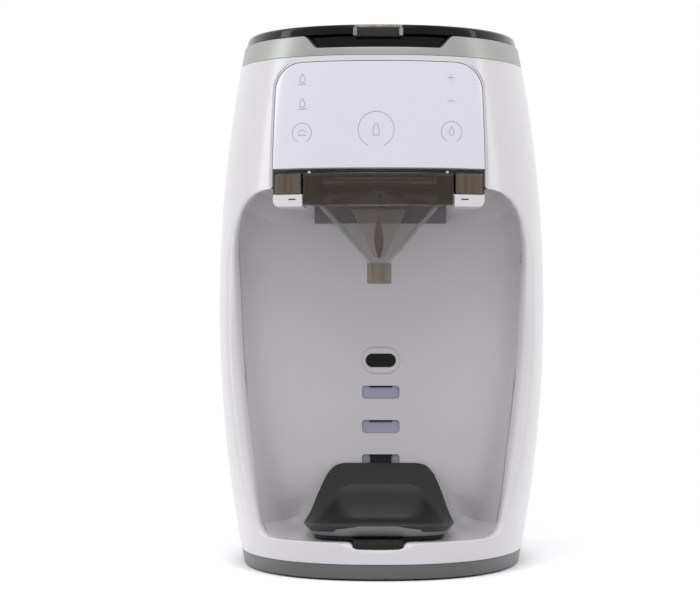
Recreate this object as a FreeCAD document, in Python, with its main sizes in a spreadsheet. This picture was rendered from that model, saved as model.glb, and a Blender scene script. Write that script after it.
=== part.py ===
import FreeCAD, Part
import math
import os
import re
import Sketcher
import PartDesign
from FreeCAD import Vector

# Baby formula maker. Millimetres, +Z up, front face towards -Y.
# The origin is on the table, under the middle of the machine.

doc = FreeCAD.newDocument("FormulaMaker")

# Driving dimensions, one cell and one alias each
SIZES = {
    "body_width": 225.0,
    "body_depth": 325.0,
    "belly_height": 176.0,
    "side_arc": 900.0,
    "front_arc": 1500.0,
    "plan_power": 2.3,
    "foot_proud": 1.2,
    "foot_radius": 9.0,
    "foot_spread_x": 58.0,
    "foot_spread_y": 98.0,
    "band_height": 9.5,
    "band_wall": 3.0,
    "floor_wall": 3.0,
    "screw_inset": 7.2,
    "screw_radius": 1.5,
    "shell_height": 329.0,
    "shell_wall": 3.0,
    "seam_back": 147.0,
    "ring_height": 13.6,
    "ring_wall": 5.0,
    "dip_width": 90.0,
    "dip_flare": 6.0,
    "dip_depth": 8.2,
    "deck_wall": 2.5,
    "lid_rise": 6.4,
    "lid_inset": 2.0,
    "lid_wall": 2.6,
    "lid_edge": 3.2,
    "lid_gap": 0.3,
    "hinge_back": 262.5,
    "knuckle_radius": 3.6,
    "knuckle_width": 116.0,
    "ear_width": 6.0,
    "pin_radius": 1.5,
    "pin_clearance": 0.05,
    "tab_width": 33.0,
    "tab_height": 6.4,
    "tab_proud": 2.2,
    "lip_height": 14.1,
    "niche_depth": 110.5,
    "niche_wall": 2.5,
    "niche_edge_width": 202.0,
    "niche_foot_taper": 16.0,
    "niche_back_width": 124.0,
    "niche_back_flare": 0.157,
    "niche_corner": 22.0,
    "cove_back": 28.0,
    "cove_side": 18.0,
    "cove_floor": 7.0,
    "notch_width": 35.0,
    "notch_depth": 4.2,
    "panel_drop": 3.9,
    "panel_height": 69.2,
    "panel_foot_width": 139.0,
    "panel_head_width": 133.0,
    "panel_corner": 18.0,
    "panel_wall": 2.2,
    "panel_proud": 0.5,
    "panel_ledge": 4.5,
    "guide_wall": 2.5,
    "board_wall": 1.6,
    "board_back": 35.0,
    "well_radius": 11.0,
    "side_well_radius": 6.0,
    "well_spread": 48.8,
    "well_rise": 24.0,
    "cover_gap": 1.2,
    "cover_width": 138.0,
    "cover_height": 16.9,
    "cover_wall": 2.6,
    "tray_width": 97.0,
    "rail_height": 6.5,
    "drawer_depth": 96.0,
    "slide_gap": 0.3,
    "funnel_back": 53.5,
    "funnel_radius": 39.0,
    "funnel_wall": 1.8,
    "funnel_flange": 2.2,
    "cone_height": 35.0,
    "spout_radius": 7.9,
    "spout_height": 15.2,
    "block_width": 89.0,
    "block_height": 22.0,
    "block_depth": 14.0,
    "nozzle_radius": 3.0,
    "nozzle_bore": 1.5,
    "nozzle_reach": 14.0,
    "window_width": 20.6,
    "window_height": 9.1,
    "bezel_rim": 3.0,
    "bezel_proud": 2.0,
    "window_rise": 139.5,
    "socket_width": 26.0,
    "socket_height": 9.4,
    "socket_depth": 12.0,
    "socket_wall": 1.2,
    "socket_pitch": 23.4,
    "socket_rise": 66.4,
    "slot_width": 15.7,
    "slot_height": 2.2,
    "stand_width": 98.5,
    "stand_depth": 96.0,
    "stand_rim_rise": 10.4,
    "stand_back_rise": 45.2,
    "stand_foot_height": 2.6,
    "stand_wall": 5.0,
    "tray_rise": 3.4,
    "drip_width": 86.0,
    "drip_wall": 1.4,
    "wheel_centre_back": 82.5,
    "gear_module": 1.5,
    "wheel_teeth": 48.0,
    "pinion_teeth": 16.0,
    "gear_width": 10.0,
    "pocket_radius": 7.0,
    "pocket_circle": 24.0,
    "drop_radius": 8.0,
    "shaft_radius": 4.0,
    "motor_radius": 14.0,
    "motor_height": 45.0,
    "motor_shaft_radius": 2.5,
    "jar_radius": 44.0,
    "jar_wall": 2.0,
    "plate_wall": 1.6,
    "bay_width": 161.2,
    "bay_depth": 80.5,
    "bay_low": 56.0,
    "bay_high": 304.0,
    "bay_wall": 2.5,
    "tank_wall": 2.5,
    "tank_gap": 0.6,
    "tank_inset": 1.45,
    "tank_lid_height": 19.0,
    "spigot_radius": 6.0,
    "spigot_rise": 14.0,
    "chassis_y": 55.0,
    "chassis_wall": 2.5,
    "chassis_width": 156.0,
    "board_gap": 4.0,
    "main_board_low": 190.0,
    "main_board_high": 296.0,
    "main_board_width": 124.0,
    "boiler_x": -40.0,
    "boiler_low": 62.0,
    "nipple_spread": 12.0,
    "nipple_length": 8.0,
    "pump_x": 46.0,
    "pump_low": 34.0,
    "meter_x": 8.0,
    "meter_z": 215.0,
    "valve_low": 231.0,
    "hose_bend": 11.0,
    "boiler_radius": 27.0,
    "boiler_height": 110.0,
    "strap_wall": 2.5,
    "pump_radius": 17.0,
    "pump_height": 60.0,
    "hose_radius": 4.0,
    "hose_bore": 2.4,
    "inlet_width": 27.5,
    "inlet_height": 19.5,
    "inlet_depth": 22.0,
    "inlet_wall": 1.8,
    "inlet_rise": 28.0,
    "vent_width": 60.0,
    "vent_height": 22.0,
}

# Places worked out from the driving dimensions
PLACES = {
    "front_y": "-body_depth / 2",
    "rear_y": "body_depth / 2",
    "shell_low": "foot_proud + band_height",
    "shell_top": "shell_low + shell_height",
    "ring_top": "shell_top + ring_height",
    "lid_low": "ring_top + lid_gap",
    "lid_top": "ring_top + lid_rise",
    "seam_y": "front_y + seam_back",
    "hinge_y": "front_y + hinge_back",
    "hinge_z": "lid_top - knuckle_radius",
    "floor_z": "shell_low + lip_height",
    "niche_y": "front_y + niche_depth",
    "liner_y": "niche_y + niche_wall",
    "niche_top": "panel_low - cover_gap - cover_height + rail_height + 1.4",
    "panel_top": "shell_top - panel_drop",
    "panel_low": "panel_top - panel_height",
    "cover_top": "panel_low - cover_gap",
    "cover_low": "cover_top - cover_height",
    "rail_low": "cover_low - rail_height",
    "drawer_y": "front_y + drawer_depth",
    "roof_low": "cover_top + 2 * slide_gap",
    "roof_top": "roof_low + niche_wall",
    "funnel_y": "front_y + funnel_back",
    "cone_low": "rail_low - cone_height",
    "spout_low": "cone_low - spout_height",
    "board_y": "front_y + board_back",
    "wheel_y": "front_y + wheel_centre_back",
    "pinion_y": "wheel_y + gear_module * (wheel_teeth + pinion_teeth) / 2",
    "gear_low": "roof_top + plate_wall + slide_gap",
    "gear_top": "gear_low + gear_width",
    "jar_low": "gear_top + slide_gap",
    "drop_y": "wheel_y - pocket_circle",
    "fill_y": "wheel_y + pocket_circle",
    "stand_low": "floor_z + tray_rise + 2 * slide_gap",
    "dish_low": "stand_low + stand_foot_height",
    "stand_rim": "floor_z + stand_rim_rise",
    "stand_top": "floor_z + stand_back_rise",
    "stand_back_y": "niche_y - 2.5",
    "stand_front_y": "stand_back_y - stand_depth",
    "bay_y": "rear_y - bay_depth",
    "tank_y": "bay_y + tank_gap",
    "tank_low": "bay_low + tank_gap",
    "tank_top": "bay_high - tank_gap - tank_lid_height",
    "spigot_z": "tank_low + spigot_rise",
    "plate_low": "foot_proud + 1.5",
    "plate_top": "plate_low + floor_wall",
}

sheet = doc.addObject("Spreadsheet::Sheet", "Sizes")
for row, (alias, number) in enumerate(SIZES.items(), start=1):
    sheet.set("A%d" % row, alias)
    sheet.set("B%d" % row, str(number))
    sheet.setAlias("B%d" % row, alias)
doc.recompute()


def bound(text):
    """A size text with each place spelled out and each alias made a reference to the sheet."""
    def swap(match):
        word = match.group(0)
        if word in PLACES:
            return "(" + bound(PLACES[word]) + ")"
        return "Sizes." + word if word in SIZES else word
    return re.sub(r"[a-z_][a-z_0-9]*", swap, str(text))


def num(text):
    """The present value of a size text, in millimetres."""
    found = sheet.evalExpression(bound(text))
    return float(getattr(found, "Value", found))


def bind(item, **texts):
    """Bind properties of an object to the sheet; double underscores stand for dots."""
    for name, text in texts.items():
        item.setExpression(name.replace("__", "."), bound(text))
    return item


AXES = {
    "Z": FreeCAD.Rotation(),
    "X": FreeCAD.Rotation(Vector(0, 1, 0), 90),
    "Y": FreeCAD.Rotation(Vector(1, 0, 0), -90),
}


def put(item, x, y, z, axis="Z"):
    """Place an object, turned so that its own Z lies along the axis, at bound coordinates."""
    item.Placement = FreeCAD.Placement(Vector(num(x), num(y), num(z)), AXES[axis])
    return bind(item, Placement__Base__x=x, Placement__Base__y=y, Placement__Base__z=z)


def box(name, x, y, z, wide, deep, high):
    """A box from its low corner."""
    item = doc.addObject("Part::Box", name)
    bind(item, Length=wide, Width=deep, Height=high)
    return put(item, x, y, z)


def mid_box(name, wide, y, z, deep, high):
    """A box that is centred on the machine's middle plane."""
    return box(name, "-(%s) / 2" % wide, y, z, wide, deep, high)


def rod(name, x, y, z, radius, length, axis="Z"):
    """A round rod whose lower end is at the point."""
    item = doc.addObject("Part::Cylinder", name)
    bind(item, Radius=radius, Height=length)
    return put(item, x, y, z, axis)


def cut(name, base, *tools):
    """The base less the tools."""
    item = doc.addObject("Part::Cut", name)
    item.Base = base
    item.Tool = tools[0] if len(tools) == 1 else fuse(name + "_tools", *tools)
    return item


def fuse(name, *pieces):
    """One solid from pieces that touch."""
    item = doc.addObject("Part::MultiFuse", name)
    item.Shapes = list(pieces)
    item.Refine = True
    return item


def feature(name, shape):
    """An object whose shape comes from Part's own functions."""
    item = doc.addObject("Part::Feature", name)
    item.Shape = shape
    return item


KEPT = []


def keep(item, node):
    """Mark an object as a piece of the machine, under its node name."""
    item.Label = node
    KEPT.append(item)
    return item


def sketch_on(body, role, name):
    """A sketch on one of the body's own origin planes."""
    plane = [part for part in body.Origin.OriginFeatures if part.Role == role][0]
    drawing = body.newObject("Sketcher::SketchObject", name)
    drawing.AttachmentSupport = [(plane, "")]
    drawing.MapMode = "FlatFace"
    return drawing


def pin_point(drawing, index, x, y):
    """Fix the start point of a line at bound coordinates."""
    for kind, axis, text in (("DistanceX", -2, x), ("DistanceY", -1, y)):
        value = num(text)
        if abs(value) < 1e-9:
            drawing.addConstraint(Sketcher.Constraint("PointOnObject", index, 1, axis))
            continue
        mark = drawing.addConstraint(Sketcher.Constraint(kind, -1, 1, index, 1, value))
        drawing.setExpression("Constraints[%d]" % mark, bound(text))


def outline(drawing, corners):
    """A closed outline of straight sides through bound corners."""
    points = [Vector(num(x), num(y), 0) for x, y in corners]
    count = len(points)
    for index, start in enumerate(points):
        drawing.addGeometry(Part.LineSegment(start, points[(index + 1) % count]), False)
    for index in range(count):
        after = (index + 1) % count
        drawing.addConstraint(Sketcher.Constraint("Coincident", index, 2, after, 1))
    for index, (x, y) in enumerate(corners):
        pin_point(drawing, index, x, y)


def turned(name, corners, x, y, z, axis="Z"):
    """A body turned from a half profile of radius and height."""
    body = doc.addObject("PartDesign::Body", name)
    drawing = sketch_on(body, "XZ_Plane", name + "_profile")
    outline(drawing, corners)
    turn = body.newObject("PartDesign::Revolution", name + "_turn")
    turn.Profile = drawing
    turn.ReferenceAxis = (drawing, ["V_Axis"])
    turn.Angle = 360
    return put(body, x, y, z, axis)


# Barrel body: level sections are superellipses, and the sides are long arcs
SECTION_POINTS = 32
PLAN_POWER = num("plan_power")


def reach(z, inset=0.0):
    """Half width and half depth of the barrel at a height."""
    rise = z - num("belly_height")
    half_width = num("body_width") / 2 - rise ** 2 / (2 * num("side_arc")) - inset
    half_depth = num("body_depth") / 2 - rise ** 2 / (2 * num("front_arc")) - inset
    return half_width, half_depth


def ring_wire(half_width, half_depth, middle_y, z, power):
    """A closed superellipse at one level."""
    points = []
    for step in range(SECTION_POINTS):
        turn = 2 * math.pi * step / SECTION_POINTS
        across, along = math.cos(turn), math.sin(turn)
        x = half_width * math.copysign(abs(across) ** (2 / power), across)
        y = half_depth * math.copysign(abs(along) ** (2 / power), along)
        points.append(Vector(x, middle_y + y, z))
    curve = Part.BSplineCurve()
    shares = [step / SECTION_POINTS for step in range(SECTION_POINTS + 1)]
    curve.interpolate(Points=points, PeriodicFlag=True, Parameters=shares)
    return Part.Wire([curve.toShape()])


def barrel(low, high, inset=0.0):
    """The barrel between two heights, drawn in by an inset. Its sides are parabolas: three levels do."""
    wires = []
    for z in (low, (low + high) / 2, high):
        half_width, half_depth = reach(z, inset)
        wires.append(ring_wire(half_width, half_depth, 0, z, PLAN_POWER))
    return Part.makeLoft(wires, True, False)


def block(x0, x1, y0, y1, z0, z1):
    """A plain box between two corners."""
    return Part.makeBox(x1 - x0, y1 - y0, z1 - z0, Vector(x0, y0, z0))


def disc(x, y, z, radius, height, axis=Vector(0, 0, 1)):
    """A plain round rod."""
    return Part.makeCylinder(radius, height, Vector(x, y, z), axis)


FAR = 400.0
front_y, rear_y = num("front_y"), num("rear_y")
shell_low, shell_top = num("shell_low"), num("shell_top")
shell_wall = num("shell_wall")
ring_top, lid_top = num("ring_top"), num("lid_top")
floor_z, niche_top = num("floor_z"), num("niche_top")
niche_y = num("niche_y")
fit = 0.1
seated = 0.02


# Bottle niche: a rounded bay whose side walls lean in towards its foot
def niche_sides(z):
    """Half width at the opening's edge, half width at the back corner, and the back wall's y."""
    belly = 150.0
    edge = num("niche_edge_width") / 2
    if z < belly:
        edge -= num("niche_foot_taper") * ((belly - z) / (belly - 30)) ** 1.6
    back = num("niche_back_width") / 2 + num("niche_back_flare") * (min(z, 190.0) - 25)
    back_y = niche_y
    side_cove, back_cove = num("cove_side"), num("cove_back")
    floor_cove = num("cove_floor")
    over_side = max(0.0, z - (niche_top - side_cove)) / side_cove
    over_back = max(0.0, z - (niche_top - back_cove)) / back_cove
    under = max(0.0, floor_z + floor_cove - z) / floor_cove
    draw = side_cove * (1 - math.sqrt(max(0.0, 1 - over_side ** 2)))
    draw += floor_cove * (1 - math.sqrt(max(0.0, 1 - under ** 2)))
    back_y -= back_cove * (1 - math.sqrt(max(0.0, 1 - over_back ** 2)))
    back_y -= floor_cove * (1 - math.sqrt(max(0.0, 1 - under ** 2)))
    return edge - draw, back - draw, back_y


EDGE_PLANE = 84.0


def niche_wire(z, grow):
    """One level section of the niche: straight sides, rounded back corners."""
    edge, back, back_y = niche_sides(z)
    edge, back, back_y = edge + grow, back + grow, back_y + grow
    corner_radius = num("niche_corner") + grow
    edge_y = -EDGE_PLANE
    open_y = front_y - 25
    slope = (edge - back) / (edge_y - niche_y)
    mouth = Vector(back + slope * (open_y - back_y), open_y, z)
    corner = Vector(back, back_y, z)
    along = (mouth - corner).normalize()
    across = Vector(-1, 0, 0)
    turn = math.acos(along.dot(across))
    run = corner_radius / math.tan(turn / 2)
    start, end = corner + along * run, corner + across * run
    halfway = (along + across).normalize()
    middle = corner + halfway * (corner_radius / math.sin(turn / 2) - corner_radius)

    def mirrored(point):
        return Vector(-point.x, point.y, point.z)

    edges = [Part.LineSegment(mirrored(mouth), mouth).toShape(),
             Part.LineSegment(mouth, start).toShape(),
             Part.Arc(start, middle, end).toShape(),
             Part.LineSegment(end, mirrored(end)).toShape(),
             Part.Arc(mirrored(end), mirrored(middle), mirrored(start)).toShape(),
             Part.LineSegment(mirrored(start), mirrored(mouth)).toShape()]
    return Part.Wire(edges)


def niche_solid(grow=0.0):
    """The niche's room, or with a growth the outside of its liner."""
    side_cove, back_cove = num("cove_side"), num("cove_back")
    floor_cove = num("cove_floor")
    levels = [floor_z + floor_cove * (1 - math.sin(math.radians(turn))) for turn in (80, 50, 25, 0)]
    straight_low, straight_high = levels[-1], niche_top - back_cove
    levels += [straight_low + (straight_high - straight_low) * step / 5 for step in range(1, 6)]
    levels += [niche_top - side_cove, niche_top - side_cove * 0.6, niche_top - side_cove * 0.3,
               niche_top - side_cove * 0.12, niche_top - side_cove * 0.02]
    wires = [niche_wire(z, grow) for z in levels]
    low, high = levels[0], levels[-1]
    solid = Part.makeLoft(wires, True, False)
    if grow:
        foot = niche_wire(low, grow)
        foot.translate(Vector(0, 0, -grow))
        head = niche_wire(high, grow)
        head.translate(Vector(0, 0, grow))
        foot_slab = Part.makeLoft([foot, niche_wire(low, grow)], True, True)
        head_slab = Part.makeLoft([niche_wire(high, grow), head], True, True)
        solid = solid.fuse([foot_slab, head_slab])
    return solid


outer_shell = barrel(shell_low, shell_top)
inner_shell = barrel(shell_low - 1, shell_top + 1, shell_wall)
inner_fit = barrel(shell_low - 1, shell_top + 1, shell_wall + fit)
niche_room = niche_solid()
liner_room = niche_solid(num("niche_wall"))

seam_y = num("seam_y")
half_drawer = num("cover_width") / 2 + 0.4
drawer_hole = block(-half_drawer, half_drawer, front_y - 10, num("drawer_y"),
                    num("rail_low") - 4, num("roof_low"))


# Touch panel outline: narrower at its head, with rounded upper corners
def panel_wire(shrink, y):
    """The panel's outline, drawn in by the shrink, in a plane across the machine."""
    low, high = num("panel_low") + shrink, num("panel_top") - shrink
    foot = num("panel_foot_width") / 2 - shrink
    head = num("panel_head_width") / 2 - shrink
    radius = max(2.0, num("panel_corner") - shrink)
    foot_point, head_point = Vector(foot, y, low), Vector(head, y, high)
    down = (foot_point - head_point).normalize()
    across = Vector(-1, 0, 0)
    turn = math.acos(down.dot(across))
    run = radius / math.tan(turn / 2)
    start, end = head_point + down * run, head_point + across * run
    halfway = (down + across).normalize()
    middle = head_point + halfway * (radius / math.sin(turn / 2) - radius)

    def mirrored(point):
        return Vector(-point.x, point.y, point.z)

    edges = [Part.LineSegment(mirrored(foot_point), foot_point).toShape(),
             Part.LineSegment(foot_point, start).toShape(),
             Part.Arc(start, middle, end).toShape(),
             Part.LineSegment(end, mirrored(end)).toShape(),
             Part.Arc(mirrored(end), mirrored(middle), mirrored(start)).toShape(),
             Part.LineSegment(mirrored(start), mirrored(foot_point)).toShape()]
    return Part.Wire(edges)


def panel_prism(shrink):
    """The panel's outline carried back from in front of the machine."""
    return Part.Face(panel_wire(shrink, front_y - 5)).extrude(Vector(0, 60, 0))


# Front shell: the white outer moulding with the niche's opening and the panel's seat
notch_half = num("notch_width") / 2
notch_floor = floor_z - num("notch_depth")
notch = block(-notch_half, notch_half, front_y - 10, front_y + 16, notch_floor, floor_z + 5)
seat_inset = num("panel_wall") - num("panel_proud")
panel_seat = panel_prism(-0.3).cut(barrel(shell_low, shell_top + 2, seat_inset))
front_part = block(-FAR, FAR, -FAR, seam_y - 0.15, 0, FAR)
front = outer_shell.common(front_part).cut(inner_shell)
front = front.cut([niche_room, drawer_hole, notch, panel_seat, panel_prism(num("panel_ledge"))])
front_shell = keep(feature("FrontShell", front), "front_shell")

# Niche liner: the white inner moulding behind the opening
liner = liner_room.common(inner_fit).cut(niche_room)
pocket_half = num("socket_width") / 2 + fit
pocket_tall = num("socket_height") + 2 * fit
liner_cuts = [drawer_hole, notch]
for level in range(3):
    pocket_z = num("socket_rise") + num("socket_pitch") * level
    liner_cuts.append(block(-pocket_half, pocket_half, niche_y - 5, niche_y + 10,
                            pocket_z - fit, pocket_z + pocket_tall - fit))
bezel_wide = num("window_width") / 2 + num("bezel_rim")
bezel_tall = num("window_height") / 2 + num("bezel_rim")
window_z = num("window_rise")


def stadium(half_wide, half_tall, z, y0, y1):
    """A flat-sided oval carried along Y, a full round at each end."""
    straight = half_wide - half_tall
    middle = block(-straight, straight, y0, y1, z - half_tall, z + half_tall)
    ends = [disc(side * straight, y0, z, half_tall, y1 - y0, Vector(0, 1, 0)) for side in (-1, 1)]
    return middle.fuse(ends).removeSplitter()


liner_cuts.append(stadium(bezel_wide + fit, bezel_tall + fit, window_z, niche_y - 5, niche_y + 10))
nozzle_z = num("rail_low + 9")
nozzle_radius = num("nozzle_radius")
along_y = Vector(0, 1, 0)
liner_cuts.append(disc(0, niche_y - 30, nozzle_z, nozzle_radius + fit, 60, along_y))
hose_hole_x, feed_z = -20.0, num("rail_low + 5")
hose_radius, hose_bore = num("hose_radius"), num("hose_bore")
liner_cuts.append(disc(hose_hole_x, niche_y - 30, feed_z, hose_radius + 0.5, 60, along_y))
niche_liner = keep(feature("NicheLiner", liner.cut(liner_cuts)), "niche_liner")

# Hood box: the roof and walls of the cover's drawer, on the liner's ceiling
box_low = niche_top + num("niche_wall") + fit
hood = block(-half_drawer - 2.4, half_drawer + 2.4, front_y, num("drawer_y") + 2.4,
             box_low, num("roof_top"))
hood = hood.common(inner_fit).cut(drawer_hole)
hood = hood.cut(disc(0, num("drop_y"), box_low, num("drop_radius") + 0.5, FAR))
hood_box = keep(feature("HoodBox", hood), "hood_box")

# Hood rails: two white strips under the smoked cover, either side of the funnel
rail_half = num("cover_width") / 2
rail_body = barrel(num("rail_low"), num("cover_low"), 0.4)
rails = block(-rail_half, rail_half, front_y, num("drawer_y") - 0.2, num("rail_low"), num("cover_low"))
rails = rails.common(rail_body)
tray_half = num("tray_width") / 2
slot_half = tray_half + num("slide_gap")
rails = rails.cut(block(-slot_half, slot_half, front_y - 5, num("drawer_y") + 5, 0, FAR))
for side in (-1, 1):
    edge_x = side * (rail_half - 1)
    cheek = block(min(edge_x, side * rail_half), max(edge_x, side * rail_half),
                  front_y + 36, num("drawer_y") - 0.2, num("rail_low"), num("roof_low"))
    rails = rails.fuse(cheek)
    slit_x = side * 57.0
    rails = rails.cut(block(slit_x - 4.5, slit_x + 4.5, front_y, front_y + 27,
                            num("rail_low + 4.2"), num("rail_low + 5.6")))
hood_rails = keep(feature("HoodRails", rails.removeSplitter()), "hood_rails")

# Rear shell: the white back moulding with the tank's bay, the vent and the inlet
rear_part = block(-FAR, FAR, seam_y + 0.15, FAR, 0, FAR)
bay_half, bay_wall = num("bay_width") / 2, num("bay_wall")
bay_y, bay_low, bay_high = num("bay_y"), num("bay_low"), num("bay_high")
bay_out = block(-bay_half - bay_wall, bay_half + bay_wall, bay_y - bay_wall, FAR,
                bay_low - bay_wall, bay_high + bay_wall)
bay_in = block(-bay_half, bay_half, bay_y, FAR, bay_low, bay_high)
rear = outer_shell.common(rear_part).cut(inner_shell.cut(bay_out)).cut(bay_in)
socket_outer = num("spigot_radius") + 4
spigot_z = num("spigot_z")
rear = rear.cut(disc(0, bay_y - 10, spigot_z, socket_outer + fit, 20, Vector(0, 1, 0)))
inlet_half, inlet_tall = num("inlet_width") / 2, num("inlet_height") / 2
inlet_z = num("inlet_rise")
rear = rear.cut(block(-inlet_half - fit, inlet_half + fit, rear_y - 40, rear_y + 5,
                      inlet_z - inlet_tall - fit, inlet_z + inlet_tall + fit))
vent_half, vent_tall = num("vent_width") / 2, num("vent_height") / 2
vent_z = (bay_high + bay_wall + shell_top - num("deck_wall")) / 2
vent_hole = block(-vent_half - fit, vent_half + fit, rear_y - 40, rear_y + 5,
                  vent_z - vent_tall - fit, vent_z + vent_tall + fit)
rear = rear.cut(vent_hole)
rear_shell = keep(feature("RearShell", rear.removeSplitter()), "rear_shell")

# Rear vent: a black grille that fills the hole above the tank
grille = block(-vent_half, vent_half, rear_y - 40, rear_y + 5, vent_z - vent_tall, vent_z + vent_tall)
grille = grille.common(barrel(shell_low, shell_top, 0.4)).cut(inner_shell)
slat_pitch = 4.4
slats = []
for step in range(4):
    slat_z = vent_z - vent_tall + 3.3 + slat_pitch * step
    slats.append(block(-vent_half + 4, vent_half - 4, rear_y - 60, rear_y + 5, slat_z, slat_z + 2.0))
rear_vent = keep(feature("RearVent", grille.cut(slats)), "rear_vent")

# Base band and floor plate
band_top = shell_low
foot_proud = num("foot_proud")
band = barrel(foot_proud, band_top, 0.3).cut(barrel(foot_proud - 1, band_top + 1, num("band_wall")))
plate_low, plate_top = num("plate_low"), num("plate_top")
ledge = barrel(plate_top, plate_top + 2, 1.0).cut(barrel(plate_top - 1, plate_top + 3, 9.0))
base_band = keep(feature("BaseBand", band.fuse(ledge).removeSplitter()), "base_band")
floor = barrel(plate_low, plate_top, num("band_wall") + fit)
screw_spots = []
for turn in (25, 65, 115, 155, 205, 245, 295, 335):
    half_width, half_depth = reach(plate_top, num("screw_inset"))
    across, along = math.cos(math.radians(turn)), math.sin(math.radians(turn))
    screw_spots.append((half_width * math.copysign(abs(across) ** (2 / PLAN_POWER), across),
                        half_depth * math.copysign(abs(along) ** (2 / PLAN_POWER), along)))
screw_radius = num("screw_radius")
holes = [disc(x, y, plate_low - 1, screw_radius + fit, floor_z) for x, y in screw_spots]
base_plate = keep(feature("BasePlate", floor.cut(holes)), "base_plate")
head_height = 0.9
screws = []
for x, y in screw_spots:
    shank = disc(x, y, plate_low - head_height, screw_radius, plate_top - plate_low + head_height)
    head = disc(x, y, plate_low - head_height, screw_radius * 1.85, head_height)
    screws.append(shank.fuse(head).removeSplitter())
base_screws = keep(feature("BaseScrews", Part.makeCompound(screws)), "base_screws")

# Rubber feet under the floor plate
foot_items = []
for mark, (sx, sy) in enumerate(((-1, -1), (1, -1), (1, 1), (-1, 1))):
    foot = turned("Foot%d" % mark, [("0", "0"), ("foot_radius - 1", "0"), ("foot_radius", "0.8"),
                                    ("foot_radius", "plate_low"), ("0", "plate_low")],
                  "%d * foot_spread_x" % sx, "%d * foot_spread_y" % sy, "0")
    foot_items.append(foot)
feet = doc.addObject("Part::Compound", "Feet")
feet.Links = foot_items
keep(feet, "rubber_feet")

# Panel fascia, light guide and touch board
fascia = panel_prism(0).common(barrel(shell_low, shell_top + 2, -num("panel_proud")))
fascia = fascia.cut(barrel(shell_low, shell_top + 2, seat_inset - seated))
panel_fascia = keep(feature("PanelFascia", fascia), "panel_fascia")
guide_back = num("board_y") - fit
guide_body = barrel(shell_low, shell_top + 2, seat_inset + 0.05)
guide_hull = panel_prism(num("panel_ledge") + 0.3).common(guide_body)
guide_hull = guide_hull.common(block(-FAR, FAR, -FAR, guide_back, 0, FAR))
guide_void = panel_prism(num("panel_ledge") + 0.3 + num("guide_wall"))
guide_void = guide_void.common(block(-FAR, FAR, -FAR, guide_back - num("guide_wall"), 0, FAR))
guide = guide_hull.cut(guide_void)
well_z = num("panel_low + well_rise")
wells, tubes = [], []
for x, radius in ((0, num("well_radius")), (-num("well_spread"), num("side_well_radius")),
                  (num("well_spread"), num("side_well_radius"))):
    tubes.append(disc(x, front_y, well_z, radius + 1.6, 60, Vector(0, 1, 0)).common(guide_hull))
    wells.append(disc(x, front_y - 5, well_z, radius, 70, Vector(0, 1, 0)))
guide = guide.fuse(tubes).cut(wells).removeSplitter()
light_guide = keep(feature("LightGuide", guide), "light_guide")
touch_board = keep(mid_box("TouchBoard", "116", "board_y", "panel_low + 6", "board_wall",
                           "panel_height - 14"), "touch_board")

# Top ring, deck and rear cap
ring = barrel(shell_top, ring_top, 0.3).cut(barrel(shell_top - 1, ring_top + 1, num("ring_wall")))
dip_low = ring_top - num("dip_depth")
dip_middle, dip_lean = num("dip_width") / 2, num("dip_flare") / 2
dip_foot, dip_head = dip_middle - dip_lean, dip_middle + dip_lean
dip_corners = [Vector(-dip_foot, front_y - 5, dip_low), Vector(dip_foot, front_y - 5, dip_low),
               Vector(dip_head + 1, front_y - 5, ring_top + 1.2),
               Vector(-dip_head - 1, front_y - 5, ring_top + 1.2)]
dip = Part.Face(Part.makePolygon(dip_corners + dip_corners[:1])).extrude(Vector(0, 80, 0))
top_ring = keep(feature("TopRing", ring.cut(dip)), "top_ring")

deck_low = shell_top - num("deck_wall")
deck = barrel(deck_low, shell_top, shell_wall + fit)
wheel_y = num("wheel_y")
jar_radius = num("jar_radius")
deck = deck.cut(disc(0, wheel_y, deck_low - 1, jar_radius + 0.4, 10))
top_deck = keep(feature("TopDeck", deck), "top_deck")

hinge_y, hinge_z = num("hinge_y"), num("hinge_z")
knuckle = num("knuckle_radius")
half_knuckle = num("knuckle_width") / 2
ear = num("ear_width")
lid_inset, lid_wall = num("lid_inset"), num("lid_wall")
side_x = Vector(1, 0, 0)


def top_slab(low):
    """The rounded slab that covers the machine's top, from a lower face upwards, hollow beneath."""
    edge = num("lid_edge")
    wires = []
    for turn in (None, 0, 30, 60, 90):
        angle = math.radians(turn or 0)
        z = low if turn is None else lid_top - edge * (1 - math.sin(angle))
        half_width, half_depth = reach(z, lid_inset + edge * (1 - math.cos(angle)))
        wires.append(ring_wire(half_width, half_depth, 0, z, PLAN_POWER))
    slab = Part.makeLoft(wires, True, True)
    return slab.cut(barrel(low - 1, lid_top - lid_wall, lid_inset + 3))


cap = top_slab(ring_top).common(block(-FAR, FAR, hinge_y - 2, FAR, 0, FAR))
cap = cap.cut(block(-half_knuckle - ear - 0.5, half_knuckle + ear + 0.5, hinge_y - 10,
                    hinge_y + knuckle + 0.8, 0, FAR))
lugs = [block(-half_knuckle - ear, half_knuckle + ear, hinge_y + knuckle + 0.8, hinge_y + knuckle + 3.2,
              ring_top - 3, lid_top - 1)]
for side in (-1, 1):
    start = half_knuckle + 0.4 if side > 0 else -half_knuckle - ear
    lugs.append(disc(start, hinge_y, hinge_z, knuckle, ear - 0.4, side_x))
    lugs.append(block(start, start + ear - 0.4, hinge_y, hinge_y + knuckle + 1.2,
                      hinge_z - knuckle + 0.4, hinge_z + 2))
cap = cap.fuse(lugs)
cap = cap.cut(disc(-FAR / 2, hinge_y, hinge_z, num("pin_radius"), FAR, side_x))
rear_cap = keep(feature("RearCap", cap), "rear_top_cap")
hinge_pin = keep(rod("HingePin", "-(knuckle_width / 2 + ear_width)", "hinge_y", "hinge_z",
                     "pin_radius", "knuckle_width + 2 * ear_width", "X"), "lid_hinge_pin")

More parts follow.
